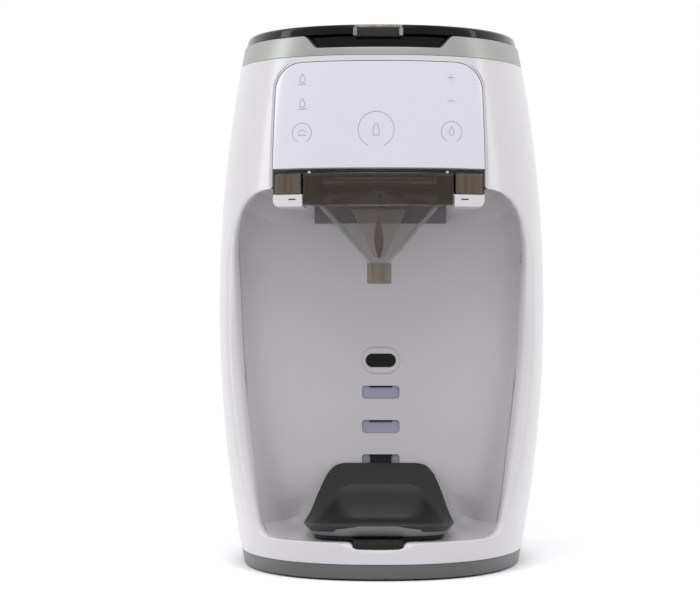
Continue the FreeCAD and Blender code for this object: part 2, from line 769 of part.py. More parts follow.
# Top lid with its front apron, knuckle and finger tab
lid_low = num("lid_low")
lid = top_slab(lid_low).common(block(-FAR, FAR, -FAR, hinge_y - knuckle - 1, 0, FAR))
apron_out = barrel(dip_low + 0.3, lid_low + 1.5, lid_inset + 0.15)
apron = apron_out.cut(barrel(dip_low - 1, lid_top, lid_inset + 2.9))
apron_corners = [Vector(-dip_foot + 0.6, front_y, dip_low), Vector(dip_foot - 0.6, front_y, dip_low),
                 Vector(dip_head - 0.4, front_y, lid_low + 1),
                 Vector(-dip_head + 0.4, front_y, lid_low + 1)]
apron_prism = Part.Face(Part.makePolygon(apron_corners + apron_corners[:1])).extrude(Vector(0, 80, 0))
lid = lid.fuse(apron.common(apron_prism))
barrel_knuckle = disc(-half_knuckle, hinge_y, hinge_z, knuckle, 2 * half_knuckle, side_x)
hinge_arm = block(-half_knuckle, half_knuckle, hinge_y - knuckle - 2, hinge_y,
                  lid_top - lid_wall - 0.4, lid_top - 0.2)
lid = lid.fuse([barrel_knuckle, hinge_arm])
lid = lid.cut(disc(-half_knuckle - 1, hinge_y, hinge_z, num("pin_radius + pin_clearance"),
                   2 * half_knuckle + 2, side_x))
top_lid = keep(feature("TopLid", lid), "top_lid")
tab_half = num("tab_width") / 2
tab_low = lid_top - 0.6 - num("tab_height")
tab = block(-tab_half, tab_half, front_y, front_y + 40, tab_low, lid_top - 0.8)
tab = tab.common(barrel(tab_low - 1, lid_top + 1, lid_inset - num("tab_proud")))
tab = tab.cut(barrel(tab_low - 2, lid_top + 2, lid_inset - seated))
lid_tab = keep(feature("LidTab", tab), "lid_tab")

# Funnel cover: the smoked drawer with its curved front band, end blocks and funnel tray
cover_low, cover_top = num("cover_low"), num("cover_top")
rail_low = num("rail_low")
drawer_y = num("drawer_y")
gap = num("slide_gap")
cover_wall = num("cover_wall")
cover_half = num("cover_width") / 2
skin = barrel(rail_low - 1, cover_top + 1, 0.0)
skin = skin.cut(barrel(rail_low - 2, cover_top + 2, cover_wall))
band_box = block(-cover_half, cover_half, front_y - 1, front_y + 45, cover_low + gap, cover_top)
drop_box = block(-tray_half, tray_half, front_y - 1, front_y + 45, rail_low + 0.2, cover_top)
cover = skin.common(band_box.fuse(drop_box))
inside = barrel(rail_low - 1, cover_top + 1, 1.0)
wing_half = rail_half - 1 - gap
pieces = [block(-wing_half, wing_half, front_y, drawer_y - 1.5, cover_top - cover_wall, cover_top)]
pieces.append(block(-tray_half, tray_half, front_y, drawer_y - gap, rail_low + 0.2, rail_low + 2.2))
for side in (-1, 1):
    inner, outer = side * (tray_half - 2), side * tray_half
    pieces.append(block(min(inner, outer), max(inner, outer), front_y, drawer_y - 5,
                        rail_low + 0.2, cover_top))
    inner, outer = side * (wing_half - 2), side * wing_half
    pieces.append(block(min(inner, outer), max(inner, outer), front_y + 30, drawer_y - 1.5,
                        cover_low + gap, cover_top))
    inner, outer = side * tray_half, side * wing_half
    pieces.append(block(min(inner, outer), max(inner, outer), front_y, front_y + 42,
                        cover_low + gap, cover_top))
cover = cover.fuse([piece.common(inside) for piece in pieces])
funnel_y = num("funnel_y")
funnel_radius = num("funnel_radius")
cover = cover.cut([disc(0, funnel_y, cover_top - 8, 30.0, 10),
                   disc(0, funnel_y, rail_low - 1, funnel_radius + 0.2, 6)])
funnel_cover = keep(feature("FunnelCover", cover.removeSplitter()), "funnel_cover")

# Mixing funnel: turned cone with a flange and a straight spout
mixing_funnel = keep(turned("MixingFunnel", [
    ("spout_radius", "spout_low"), ("spout_radius", "cone_low"), ("funnel_radius", "rail_low"),
    ("funnel_radius", "rail_low + 2.2 + 0.1"), ("funnel_radius + funnel_flange", "rail_low + 2.3"),
    ("funnel_radius + funnel_flange", "rail_low + 4.3"), ("funnel_radius - funnel_wall", "rail_low + 4.3"),
    ("funnel_radius - funnel_wall", "rail_low"), ("spout_radius - funnel_wall", "cone_low - 1"),
    ("spout_radius - funnel_wall", "spout_low")], "0", "funnel_y", "0"), "mixing_funnel")

# Outlet block and water nozzle on the niche's back wall
block_half, block_low = num("block_width") / 2, rail_low - 9.4
block_tool = block(-block_half, block_half, niche_y - num("block_depth"), niche_y + 1,
                   block_low, block_low + num("block_height"))
outlet = block_tool.common(niche_solid(-fit))
hose_end_y = niche_y - 10
outlet = outlet.cut([disc(0, niche_y - 40, nozzle_z, nozzle_radius + seated, 36, along_y),
                     disc(hose_hole_x, hose_end_y - seated, feed_z, hose_radius + fit, 40, along_y)])
outlet_block = keep(feature("OutletBlock", outlet), "outlet_block")
nozzle_start = niche_y - num("block_depth") - num("nozzle_reach")
nozzle = disc(0, nozzle_start, nozzle_z, nozzle_radius, num("nozzle_reach") + 6, along_y)
nozzle = nozzle.cut(disc(0, niche_y - 60, nozzle_z, num("nozzle_bore"), 70, along_y))
water_nozzle = keep(feature("WaterNozzle", nozzle), "water_nozzle")

# Bottle sensor: raised oval bezel, dark window and the small board behind
bezel_out = stadium(bezel_wide, bezel_tall, window_z, niche_y - num("bezel_proud"), niche_y + 7)
window_half, window_tall = num("window_width") / 2, num("window_height") / 2
window_hole = stadium(window_half, window_tall, window_z, niche_y - 20, niche_y + 20)
rim_edges = [edge for edge in bezel_out.Edges
             if edge.BoundBox.YMax < niche_y - num("bezel_proud") + 0.01]
bezel = bezel_out.makeFillet(1.2, rim_edges).cut(window_hole)
sensor_bezel = keep(feature("SensorBezel", bezel), "sensor_bezel")
window = stadium(window_half - 0.05, window_tall - 0.05, window_z,
                 niche_y - num("bezel_proud") + 1.2, niche_y + 1.8)
sensor_window = keep(feature("SensorWindow", window), "sensor_window")
sensor_board = keep(mid_box("SensorBoard", "34", "niche_y + 7", "window_rise - 11", "board_wall", "22"),
                    "sensor_board")

# Height sockets: three cups in the back wall, each with a slot that takes the stand's hook
cups = []
socket_depth, socket_wall = num("socket_depth"), num("socket_wall")
slot_half_wide = num("slot_width") / 2
for level in range(3):
    low = num("socket_rise") + num("socket_pitch") * level
    cup = block(-pocket_half + fit, pocket_half - fit, niche_y, niche_y + socket_depth,
                low, low + num("socket_height"))
    hollow_half = pocket_half - fit - socket_wall
    hollow = block(-hollow_half, hollow_half, niche_y - 1, niche_y + 4.5,
                   low + socket_wall, low + num("socket_height") - socket_wall)
    slit_top = low + num("socket_height") - socket_wall
    slit = block(-slot_half_wide, slot_half_wide, niche_y - 1, niche_y + socket_depth - 1.5,
                 slit_top - num("slot_height"), slit_top)
    cups.append(cup.cut([hollow, slit]))
height_sockets = keep(feature("HeightSockets", Part.makeCompound(cups)), "height_sockets")

# Bottle stand: a scoop with a low front and a raised back, on a lighter foot
stand_front, stand_back = num("stand_front_y"), num("stand_back_y")
stand_half = num("stand_width") / 2
stand_rim, stand_top = num("stand_rim"), num("stand_top")
dish_low, stand_low = num("dish_low"), num("stand_low")
STAND_POWER = 3.4


def stand_wire(half_width, front, back, z):
    """One level section of the stand."""
    return ring_wire(half_width, (back - front) / 2, (front + back) / 2, z, STAND_POWER)


back_rise = stand_top - stand_rim
back_lean = 20.0
scoop_wall = num("stand_wall")


def stand_levels(inset):
    """Level sections of the stand from its rim to its top, narrowing as they rise."""
    wires = []
    for step in range(7):
        share = step / 6
        half_width = stand_half - back_lean * share ** 1.7 - inset
        wires.append(stand_wire(half_width, stand_front + inset, stand_back - inset,
                                stand_rim + back_rise * share))
    return wires


dish_foot = stand_wire(stand_half - 3, stand_front + 2.5, stand_back - 1, dish_low)
dish = Part.makeLoft([dish_foot] + stand_levels(0), True, True)
scoop_low = [stand_wire(stand_half - 14, stand_front + 13, stand_back - 13, dish_low + 1.8),
             stand_wire(stand_half - scoop_wall - 3, stand_front + scoop_wall + 2,
                        stand_back - scoop_wall - 2, stand_rim - 1)]
scoop_high = stand_levels(scoop_wall)[1:]
lifted = scoop_high[-1].copy()
lifted.translate(Vector(0, 0, 5))
scoop = Part.makeLoft(scoop_low + scoop_high + [lifted], True, True)
slope_start = Vector(-FAR, stand_front + 28, stand_rim)
slope_middle = Vector(-FAR, stand_front + 68, stand_rim + back_rise * 0.36)
slope_end = Vector(-FAR, stand_back + 6, stand_top + 6)
straights = [slope_end, Vector(-FAR, stand_back + 6, FAR), Vector(-FAR, stand_front - 30, FAR),
             Vector(-FAR, stand_front - 30, stand_rim), slope_start]
path = [Part.Arc(slope_start, slope_middle, slope_end).toShape()]
path += [Part.LineSegment(start, end).toShape() for start, end in zip(straights, straights[1:])]
above = Part.Face(Part.Wire(path)).extrude(Vector(2 * FAR, 0, 0))
bottle_stand = keep(feature("BottleStand", dish.cut([scoop, above])), "bottle_stand")
foot_wires = [stand_wire(stand_half - 6, stand_front + 5, stand_back - 3, stand_low),
              stand_wire(stand_half - 3.4, stand_front + 2.8, stand_back - 1.4, dish_low)]
stand_foot = keep(feature("StandFoot", Part.makeLoft(foot_wires, True, False)), "stand_foot")
hook_top = num("socket_rise + socket_height - socket_wall") - 0.3
hook_rib = block(-slot_half_wide + 0.6, slot_half_wide - 0.6, stand_back + 0.05, stand_back + 1.6,
                 hook_top - 8, hook_top)
hook = block(-slot_half_wide + 0.6, slot_half_wide - 0.6, stand_back + 0.05, niche_y + 9,
             hook_top - num("slot_height") + 0.7, hook_top)
stand_hook = keep(feature("StandHook", hook.fuse(hook_rib).removeSplitter()), "stand_hook")

# Drip tray: shallow black dish under the stand, with a tongue in the lip's notch
drip_half = num("drip_width") / 2
drip_low = floor_z + 2 * fit
drip_top = floor_z + num("tray_rise")
drip_front, drip_back = stand_front + 6, stand_back - 6
drip = Part.makeLoft([stand_wire(drip_half - 0.6, drip_front, drip_back, drip_low),
                      stand_wire(drip_half, drip_front, drip_back, drip_top)], True, False)
drip_wall = num("drip_wall")
drip_room = [stand_wire(drip_half - 3, drip_front + 3, drip_back - 3, drip_low + drip_wall),
             stand_wire(drip_half - 2, drip_front + 2, drip_back - 2, drip_top + 1)]
drip = drip.cut(Part.makeLoft(drip_room, True, False))
tongue = block(-notch_half + 1, notch_half - 1, front_y, drip_front + 6, notch_floor + 0.4, drip_low + 1.4)
tongue = tongue.cut(block(-FAR, FAR, front_y + 15.6, FAR, 0, drip_low))
tongue = tongue.common(barrel(shell_low, floor_z + 10, 0.8))
drip_tray = keep(feature("DripTray", drip.fuse(tongue).removeSplitter()), "drip_tray")


# Dosing drive: plate, toothed dosing wheel, motor pinion, gear motor and agitator
def gear(teeth, first_angle, low, height, centre_y, bore):
    """A spur gear with straight-flanked teeth; one tooth points along the first angle."""
    module = num("gear_module")
    pitch_radius = module * teeth / 2
    half_tooth = math.pi * module / 4 * 0.90
    lean = math.tan(math.radians(20))
    levels = ((-1.2, 1.2 * lean), (0.0, 0.0), (0.92, -0.92 * lean))
    points = []
    for index in range(teeth):
        middle = first_angle + 2 * math.pi * index / teeth
        flank = [(pitch_radius + offset * module, (half_tooth + widen * module) / pitch_radius)
                 for offset, widen in levels]
        turns = [(radius, middle - half) for radius, half in flank]
        turns += [(radius, middle + half) for radius, half in reversed(flank)]
        points += [Vector(radius * math.cos(turn), centre_y + radius * math.sin(turn), low)
                   for radius, turn in turns]
    face = Part.Face(Part.makePolygon(points + points[:1]))
    return face.extrude(Vector(0, 0, height)).cut(disc(0, centre_y, low - 1, bore, height + 2))


gear_low, gear_width = num("gear_low"), num("gear_width")
wheel_teeth, pinion_teeth = int(num("wheel_teeth")), int(num("pinion_teeth"))
pinion_y = num("pinion_y")
shaft_radius = num("shaft_radius")
wheel = gear(wheel_teeth, math.pi / 2, gear_low, gear_width, wheel_y, shaft_radius + 0.02)
pocket_circle, pocket_radius = num("pocket_circle"), num("pocket_radius")
for index in range(6):
    turn = math.pi / 3 * index + math.pi / 2
    wheel = wheel.cut(disc(pocket_circle * math.cos(turn), wheel_y + pocket_circle * math.sin(turn),
                           gear_low - 1, pocket_radius, gear_width + 2))
dosing_wheel = keep(feature("DosingWheel", wheel), "dosing_wheel")
half_step = math.pi / pinion_teeth
motor_shaft_radius = num("motor_shaft_radius")
pinion = gear(pinion_teeth, -math.pi / 2 + half_step, gear_low, gear_width, pinion_y,
              motor_shaft_radius + 0.05)
motor_pinion = keep(feature("MotorPinion", pinion), "motor_pinion")

dosing_plate = keep(cut("DosingPlate",
                        mid_box("PlateBlank", "100", "wheel_y - 46", "roof_top", "pinion_y - wheel_y + 64",
                                "plate_wall"),
                        rod("PlateBearing", "0", "wheel_y", "roof_top - 1", "shaft_radius + 0.05", "10"),
                        rod("PlateDrop", "0", "drop_y", "roof_top - 1", "drop_radius", "10"),
                        rod("PlateShaft", "0", "pinion_y", "roof_top - 1", "motor_shaft_radius + 2", "10")),
                    "dosing_plate")
shaft_top = "motor_height + plate_wall + gear_width"
motor_can = turned("GearMotor", [
    ("0", "0"), ("motor_radius - 1.5", "0"), ("motor_radius", "1.5"), ("motor_radius", "motor_height"),
    ("motor_shaft_radius", "motor_height"), ("motor_shaft_radius", shaft_top), ("0", shaft_top)],
    "0", "pinion_y", "roof_top - motor_height")
gear_motor = keep(motor_can, "gear_motor")

# Powder jar, its lid and the agitator on the wheel's shaft
jar_low, jar_wall = num("jar_low"), num("jar_wall")
jar_flange = 4.0
jar = disc(0, wheel_y, jar_low, jar_radius, shell_top - jar_low)
jar = jar.fuse(disc(0, wheel_y, shell_top, jar_radius + jar_flange, 2))
jar = jar.cut([disc(0, wheel_y, jar_low + 2.5, jar_radius - jar_wall, FAR),
               disc(0, wheel_y, jar_low - 1, shaft_radius + 0.3, 10),
               disc(0, num("fill_y"), jar_low - 1, num("drop_radius"), 10)])
powder_jar = keep(feature("PowderJar", jar.removeSplitter()), "powder_jar")
powder_lid = keep(turned("PowderLid", [
    ("0", "shell_top + 2.1"), ("jar_radius - jar_wall - 2.4", "shell_top + 2.1"),
    ("jar_radius - jar_wall - 2.4", "shell_top - 0.4"), ("jar_radius - jar_wall - 0.4", "shell_top - 0.4"),
    ("jar_radius - jar_wall - 0.4", "shell_top + 2.1"), ("jar_radius + 3", "shell_top + 2.1"),
    ("jar_radius + 3", "shell_top + 4.6"), ("9", "shell_top + 4.6"), ("7", "shell_top + 10"),
    ("0", "shell_top + 10")], "0", "wheel_y", "0"), "powder_lid")
spindle = disc(0, wheel_y, num("roof_top") + 0.1, shaft_radius, num("jar_low") + 20 - num("roof_top"))
arms = []
for index in range(3):
    arm = block(0, jar_radius - jar_wall - 3, wheel_y - 2, wheel_y + 2, jar_low + 4, jar_low + 7)
    paddle = block(jar_radius - jar_wall - 7, jar_radius - jar_wall - 3, wheel_y - 2, wheel_y + 2,
                   jar_low + 4, jar_low + 18)
    arm = arm.fuse(paddle)
    arm.rotate(Vector(0, wheel_y, 0), Vector(0, 0, 1), 120 * index)
    arms.append(arm)
agitator = keep(feature("Agitator", spindle.fuse(arms).removeSplitter()), "agitator")

# Water tank with its lid, spigot and seal
tank_half = bay_half - num("tank_gap")
tank_y, tank_low, tank_top = num("tank_y"), num("tank_low"), num("tank_top")
tank_wall = num("tank_wall")
tank_inset = num("tank_inset")
tank_skin = barrel(shell_low, shell_top, tank_inset)
tank_hull = block(-tank_half, tank_half, tank_y, FAR, tank_low, tank_top).common(tank_skin)
tank_void = block(-tank_half + tank_wall, tank_half - tank_wall, tank_y + tank_wall, FAR,
                  tank_low + tank_wall, FAR)
tank_void = tank_void.common(barrel(shell_low, shell_top, tank_inset + tank_wall))
spigot_radius = num("spigot_radius")
tank = tank_hull.cut([tank_void, disc(0, tank_y - 5, spigot_z, spigot_radius + 0.02, 15, along_y)])
water_tank = keep(feature("WaterTank", tank), "water_tank")
tank_lid_top = tank_top + num("tank_lid_height")
lid_hull = block(-tank_half, tank_half, tank_y, FAR, tank_top, tank_lid_top).common(tank_skin)
lid_void = block(-tank_half + 2.5, tank_half - 2.5, tank_y + 2.5, FAR, tank_top - 1, tank_lid_top - 2.5)
lid_void = lid_void.common(barrel(shell_low, shell_top, 22.0))
grip_half = 30.0
grip = block(-grip_half, grip_half, rear_y - 20, rear_y + 5, tank_top + 3, tank_lid_top - 4)
tank_lid = keep(feature("TankLid", lid_hull.cut([lid_void, grip])), "tank_lid")
spigot = disc(0, bay_y - 8, spigot_z, spigot_radius, tank_y + tank_wall - bay_y + 8, along_y)
spigot = spigot.cut([disc(0, bay_y - 9, spigot_z, spigot_radius - 2, 20, along_y),
                     disc(0, bay_y - 5.4, spigot_z, spigot_radius + 1, 2.4, along_y).cut(
                         disc(0, bay_y - 5.4, spigot_z, spigot_radius - 1, 2.4, along_y))])
tank_spigot = keep(feature("TankSpigot", spigot), "tank_spigot")
spigot_seal = doc.addObject("Part::Torus", "SpigotSeal")
bind(spigot_seal, Radius1="spigot_radius", Radius2="1.0")
keep(put(spigot_seal, "0", "bay_y - 4.2", "spigot_z", "Y"), "spigot_seal")

# Tank socket in the bay's wall, with a nipple for the cold hose
socket = disc(0, bay_y - 12, spigot_z, socket_outer, 12, along_y)
socket = socket.fuse(disc(0, bay_y - 19, spigot_z, hose_bore, 8, along_y))
socket = socket.cut([disc(0, bay_y - 10, spigot_z, spigot_radius + 1.3, 12, along_y),
                     disc(0, bay_y - 20, spigot_z, 1.4, 20, along_y)])
tank_socket = keep(feature("TankSocket", socket.removeSplitter()), "tank_socket")

# Chassis: bent plate that stands on the floor plate and carries the inner works
chassis_y, chassis_wall = num("chassis_y"), num("chassis_wall")
chassis_half = num("chassis_width") / 2
board_gap, board_wall = num("board_gap"), num("board_wall")
chassis_back = chassis_y + chassis_wall
upright = block(-chassis_half, chassis_half, chassis_y, chassis_back, plate_top, shell_top - 20)
flange_half = chassis_half - 10
foot_flange = block(-flange_half, flange_half, num("liner_y") + 3, chassis_y,
                    plate_top, plate_top + chassis_wall)
main_low, main_high = num("main_board_low"), num("main_board_high")
main_half = num("main_board_width") / 2
posts = [disc(side * (main_half - 5), chassis_back, level, 3.0, board_gap, along_y)
         for side in (-1, 1) for level in (main_low + 5, main_high - 5)]
chassis_shape = upright.fuse([foot_flange] + posts)
chassis_shape = chassis_shape.cut(disc(0, chassis_y - 5, spigot_z, socket_outer - 1, 20, along_y))
chassis = keep(feature("Chassis", chassis_shape.removeSplitter()), "chassis")

# Boiler with two nipples on its top, its clamps and its thermostat
works_y = "(chassis_y - boiler_radius - strap_wall)"
nipple = "(hose_bore - 0.02)"
boiler_body = turned("BoilerCan", [
    ("0", "0"), ("boiler_radius - 4", "0"), ("boiler_radius", "4"), ("boiler_radius", "boiler_height - 4"),
    ("boiler_radius - 4", "boiler_height"), ("0", "boiler_height")], "boiler_x", works_y, "boiler_low")
boiler_in = rod("BoilerIn", "boiler_x + nipple_spread", works_y, "boiler_low + boiler_height - 1", nipple,
                "nipple_length + 1")
boiler_out = rod("BoilerOut", "boiler_x - nipple_spread", works_y, "boiler_low + boiler_height - 1", nipple,
                 "nipple_length + 1")
boiler = keep(fuse("Boiler", boiler_body, boiler_in, boiler_out), "boiler")
boiler_x, boiler_y, boiler_low = num("boiler_x"), num(works_y), num("boiler_low")
boiler_radius, boiler_height = num("boiler_radius"), num("boiler_height")
clamps = []
for level in (0.2, 0.8):
    clamp_low = boiler_low + boiler_height * level - 5
    clamp = disc(boiler_x, boiler_y, clamp_low, boiler_radius + num("strap_wall"), 10)
    clamp = clamp.fuse(block(boiler_x - 12, boiler_x + 12, boiler_y, chassis_y, clamp_low, clamp_low + 10))
    clamps.append(clamp.cut(disc(boiler_x, boiler_y, clamp_low - 1, boiler_radius, 12)).removeSplitter())
boiler_clamps = keep(feature("BoilerClamps", Part.makeCompound(clamps)), "boiler_clamps")
thermostat = keep(rod("Thermostat", "boiler_x", works_y + " - 14", "boiler_low + boiler_height", "6", "5"),
                  "thermostat")

# Pump on a rubber mount
pump_body = turned("PumpBody", [
    ("0", "0"), ("pump_radius - 3", "0"), ("pump_radius", "3"), ("pump_radius", "pump_height * 0.45"),
    ("pump_radius - 2", "pump_height * 0.5"), ("pump_radius - 2", "pump_height"), ("0", "pump_height")],
    "pump_x", works_y, "pump_low")
pump_in = rod("PumpIn", "pump_x - pump_radius - nipple_length", works_y, "spigot_z", nipple,
              "nipple_length + 5", "X")
pump_out = rod("PumpOut", "pump_x", works_y, "pump_low + pump_height - 1", nipple, "nipple_length + 1")
pump = keep(fuse("Pump", pump_body, pump_in, pump_out), "pump")
mount_blank = box("MountBlank", "pump_x - 12", works_y, "pump_low + 4", "24", "chassis_y - " + works_y,
                  "pump_height * 0.36")
mount_bore = rod("MountBore", "pump_x", works_y, "pump_low", "pump_radius", "pump_height")
pump_mount = keep(cut("PumpMount", mount_blank, mount_bore), "pump_mount")

# Flow meter and solenoid valve, each on the chassis
meter_body = rod("MeterBody", "meter_x - 12", works_y, "meter_z", "12", "24", "X")
meter_pipe = rod("MeterPipe", "meter_x - 12 - nipple_length", works_y, "meter_z", nipple,
                 "24 + 2 * nipple_length", "X")
meter_arm = box("MeterArm", "meter_x - 8", works_y, "meter_z - 6", "16", "chassis_y - " + works_y, "12")
flow_meter = keep(fuse("FlowMeter", meter_body, meter_pipe, meter_arm), "flow_meter")
valve_body = box("ValveBody", "boiler_x - nipple_spread - 13", works_y + " - 13", "valve_low", "26",
                 "chassis_y - %s + 13" % works_y, "30")
valve_in = rod("ValveIn", "boiler_x - nipple_spread", works_y, "valve_low - nipple_length", nipple,
               "nipple_length + 1")
valve_out = rod("ValveOut", "boiler_x - nipple_spread", works_y + " - 13 - nipple_length",
                "rail_low + 5", nipple, "nipple_length + 1", "Y")
solenoid_valve = keep(fuse("SolenoidValve", valve_body, valve_in, valve_out), "solenoid_valve")


# Silicone hoses: straight runs joined by tangent arcs
def hose(points, bend):
    """A tube along straight runs, with an arc of the bend's radius at each corner."""
    edges, here = [], points[0]
    for before, corner, after in zip(points, points[1:], points[2:]):
        back = (before - corner).normalize()
        ahead = (after - corner).normalize()
        run = bend / math.tan(back.getAngle(ahead) / 2)
        start, end = corner + back * run, corner + ahead * run
        inward = (back + ahead).normalize()
        middle = corner + inward * (bend / math.sin(back.getAngle(ahead) / 2) - bend)
        edges.append(Part.LineSegment(here, start).toShape())
        edges.append(Part.Arc(start, middle, end).toShape())
        here = end
    edges.append(Part.LineSegment(here, points[-1]).toShape())
    way = Part.Wire(edges)
    solids = []
    for radius in (hose_radius, hose_bore):
        circle = Part.Wire([Part.Circle(points[0], points[1] - points[0], radius).toShape()])
        solids.append(way.makePipeShell([circle], True, False))
    return solids[0].cut(solids[1])


works = num(works_y)
nipple_spread = num("nipple_spread")
pump_x, pump_top = num("pump_x"), num("pump_low + pump_height")
meter_x, meter_z = num("meter_x"), num("meter_z")
boiler_top = boiler_low + boiler_height
valve_x, valve_low = boiler_x - nipple_spread, num("valve_low")
turn_y = niche_y + 28
bend = num("hose_bend")
hose_cold = keep(feature("HoseCold", hose([
    Vector(0, bay_y - 12.2, spigot_z), Vector(0, works, spigot_z),
    Vector(pump_x - num("pump_radius") - 0.2, works, spigot_z)], bend)), "hose_cold")
hose_feed = keep(feature("HoseFeed", hose([
    Vector(pump_x, works, pump_top + 0.2), Vector(pump_x, works, meter_z),
    Vector(meter_x + 12.2, works, meter_z)], bend)), "hose_feed")
hose_boiler = keep(feature("HoseBoiler", hose([
    Vector(meter_x - 12.2, works, meter_z), Vector(boiler_x + nipple_spread, works, meter_z),
    Vector(boiler_x + nipple_spread, works, boiler_top + 0.2)], bend)), "hose_boiler")
hose_hot = keep(feature("HoseHot", hose([
    Vector(valve_x, works, boiler_top + 0.2), Vector(valve_x, works, valve_low - 0.2)], bend)), "hose_hot")
hose_outlet = keep(feature("HoseOutlet", hose([
    Vector(valve_x, works - 13.2, feed_z), Vector(valve_x, turn_y, feed_z),
    Vector(hose_hole_x, turn_y, feed_z), Vector(hose_hole_x, hose_end_y, feed_z)], bend)), "hose_outlet")

# Main board behind the chassis, with its relays and connectors, and the power supply beside it
board_y0 = chassis_back + board_gap
board_shape = block(-main_half, main_half, board_y0, board_y0 + board_wall, main_low, main_high)
parts_on = [block(-main_half + 8 + 22 * step, -main_half + 22 + 22 * step, board_y0 + board_wall,
                  board_y0 + board_wall + 9, main_low + 12, main_low + 30) for step in range(5)]
parts_on += [disc(-main_half + 20 + 20 * step, board_y0 + board_wall, main_high - 20, 5, 12, along_y)
             for step in range(3)]
main_board = keep(feature("MainBoard", board_shape.fuse(parts_on).removeSplitter()), "main_board")
power_supply = keep(box("PowerSupply", "14", "chassis_y + chassis_wall", "spigot_z + 24", "56", "18", "76"),
                    "power_supply")

# Mains inlet at the back, low down, with its three pins
inlet_face = barrel(shell_low, shell_top, 0.3)
inlet_depth, inlet_wall = num("inlet_depth"), num("inlet_wall")
inlet_y = reach(inlet_z)[1] - inlet_depth
inlet_body = block(-inlet_half, inlet_half, inlet_y, rear_y, inlet_z - inlet_tall, inlet_z + inlet_tall)
inlet_body = inlet_body.common(inlet_face)
inlet_room = block(-inlet_half + inlet_wall, inlet_half - inlet_wall, inlet_y + 6, rear_y + 1,
                   inlet_z - inlet_tall + inlet_wall, inlet_z + inlet_tall - inlet_wall)
pins = [block(x - 1, x + 1, inlet_y - 4, inlet_y + 17, z - 2.2, z + 2.2)
        for x, z in ((-7, inlet_z - 2), (7, inlet_z - 2), (0, inlet_z + 2))]
inlet_socket = keep(feature("InletSocket", inlet_body.cut([inlet_room] + pins)), "inlet_socket")
inlet_pins = keep(feature("InletPins", Part.makeCompound(pins)), "inlet_pins")

# Check every object and every piece, then write one file for each piece
doc.recompute()
for item in doc.Objects:
    if "Invalid" in item.State or "Error" in item.State:
        raise RuntimeError("%s did not build: %s" % (item.Name, item.State))
for item in KEPT:
    if item.Shape.isNull() or not item.Shape.isValid() or not item.Shape.Solids:
        raise RuntimeError("%s has no sound shape" % item.Label)
os.makedirs("parts", exist_ok=True)
for item in KEPT:
    item.Shape.exportStep(os.path.join("parts", item.Label + ".step"))
print("%d pieces written" % len(KEPT))
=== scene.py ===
import math
import bmesh
import bpy
import numpy as np
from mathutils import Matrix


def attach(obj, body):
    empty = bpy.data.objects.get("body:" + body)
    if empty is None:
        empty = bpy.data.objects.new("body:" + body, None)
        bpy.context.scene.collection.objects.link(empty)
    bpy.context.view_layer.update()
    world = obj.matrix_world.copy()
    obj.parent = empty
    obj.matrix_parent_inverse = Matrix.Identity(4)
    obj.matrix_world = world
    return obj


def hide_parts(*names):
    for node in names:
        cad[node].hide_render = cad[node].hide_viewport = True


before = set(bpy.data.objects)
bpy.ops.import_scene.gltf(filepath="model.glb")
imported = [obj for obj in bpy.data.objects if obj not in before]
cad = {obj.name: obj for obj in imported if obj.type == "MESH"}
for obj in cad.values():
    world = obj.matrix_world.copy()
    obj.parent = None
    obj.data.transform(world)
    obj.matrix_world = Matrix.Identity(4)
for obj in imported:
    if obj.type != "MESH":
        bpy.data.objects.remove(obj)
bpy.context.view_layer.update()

# Studio: a pale table top under a white sky, with soft boxes to the left, right and above.
# The camera stands level in front of the machine, a little to its right.
view_turn = math.radians(0.93)
view_run = 1.938
view_height = 0.197
camera_data = bpy.data.cameras.new("camera")
camera_data.lens = 142.4
camera_data.sensor_width = 36.0
camera_data.shift_x, camera_data.shift_y = -0.0457, -0.0342
camera = bpy.data.objects.new("camera", camera_data)
camera.location = (view_run * math.sin(view_turn), -view_run * math.cos(view_turn), view_height)
camera.rotation_euler = (math.radians(90), 0, view_turn)
bpy.context.scene.collection.objects.link(camera)
bpy.context.scene.camera = camera
bpy.context.scene.view_settings.view_transform = "Standard"


def linear(hex_colour):
    """Linear colour of an sRGB hex value: each share to the power 2.4, straight near black."""
    shares = [int(hex_colour[start:start + 2], 16) / 255 for start in (1, 3, 5)]
    return tuple(s / 12.92 if s <= 0.04045 else ((s + 0.055) / 1.055) ** 2.4 for s in shares) + (1.0,)


def add(tree, kind, inputs=None, **settings):
    """Add one node, set its properties, and fill or link its inputs by name or number."""
    item = tree.nodes.new(kind)
    for name, value in settings.items():
        setattr(item, name, value)
    for socket, value in (inputs or {}).items():
        if isinstance(value, bpy.types.NodeSocket):
            tree.links.new(value, item.inputs[socket])
        else:
            item.inputs[socket].default_value = value
    return item


def soft_box(name, place, aim, width, height, power):
    """An area lamp at a place, turned towards a point, both in metres."""
    data = bpy.data.lights.new(name, "AREA")
    data.shape = "RECTANGLE"
    data.size, data.size_y, data.energy = width, height, power
    lamp = bpy.data.objects.new(name, data)
    lamp.location = place
    way = [to - at for to, at in zip(aim, place)]
    flat = math.hypot(way[0], way[1])
    lamp.rotation_euler = (math.atan2(flat, -way[2]), 0, math.atan2(-way[0], way[1]))
    bpy.context.scene.collection.objects.link(lamp)


soft_box("key_left", (-1.9, 0.42, 0.7), (0, 0, 0.2), 0.42, 1.7, 6.5)
soft_box("fill_right", (1.9, 0.40, 0.7), (0, 0, 0.2), 0.22, 1.7, 3.0)
soft_box("top", (0, -1.35, 1.95), (0, 0, 0.2), 1.8, 1.1, 14)

sky = bpy.data.worlds.new("sky")
bpy.context.scene.world = sky
sky.use_nodes = True
sky.node_tree.nodes.clear()


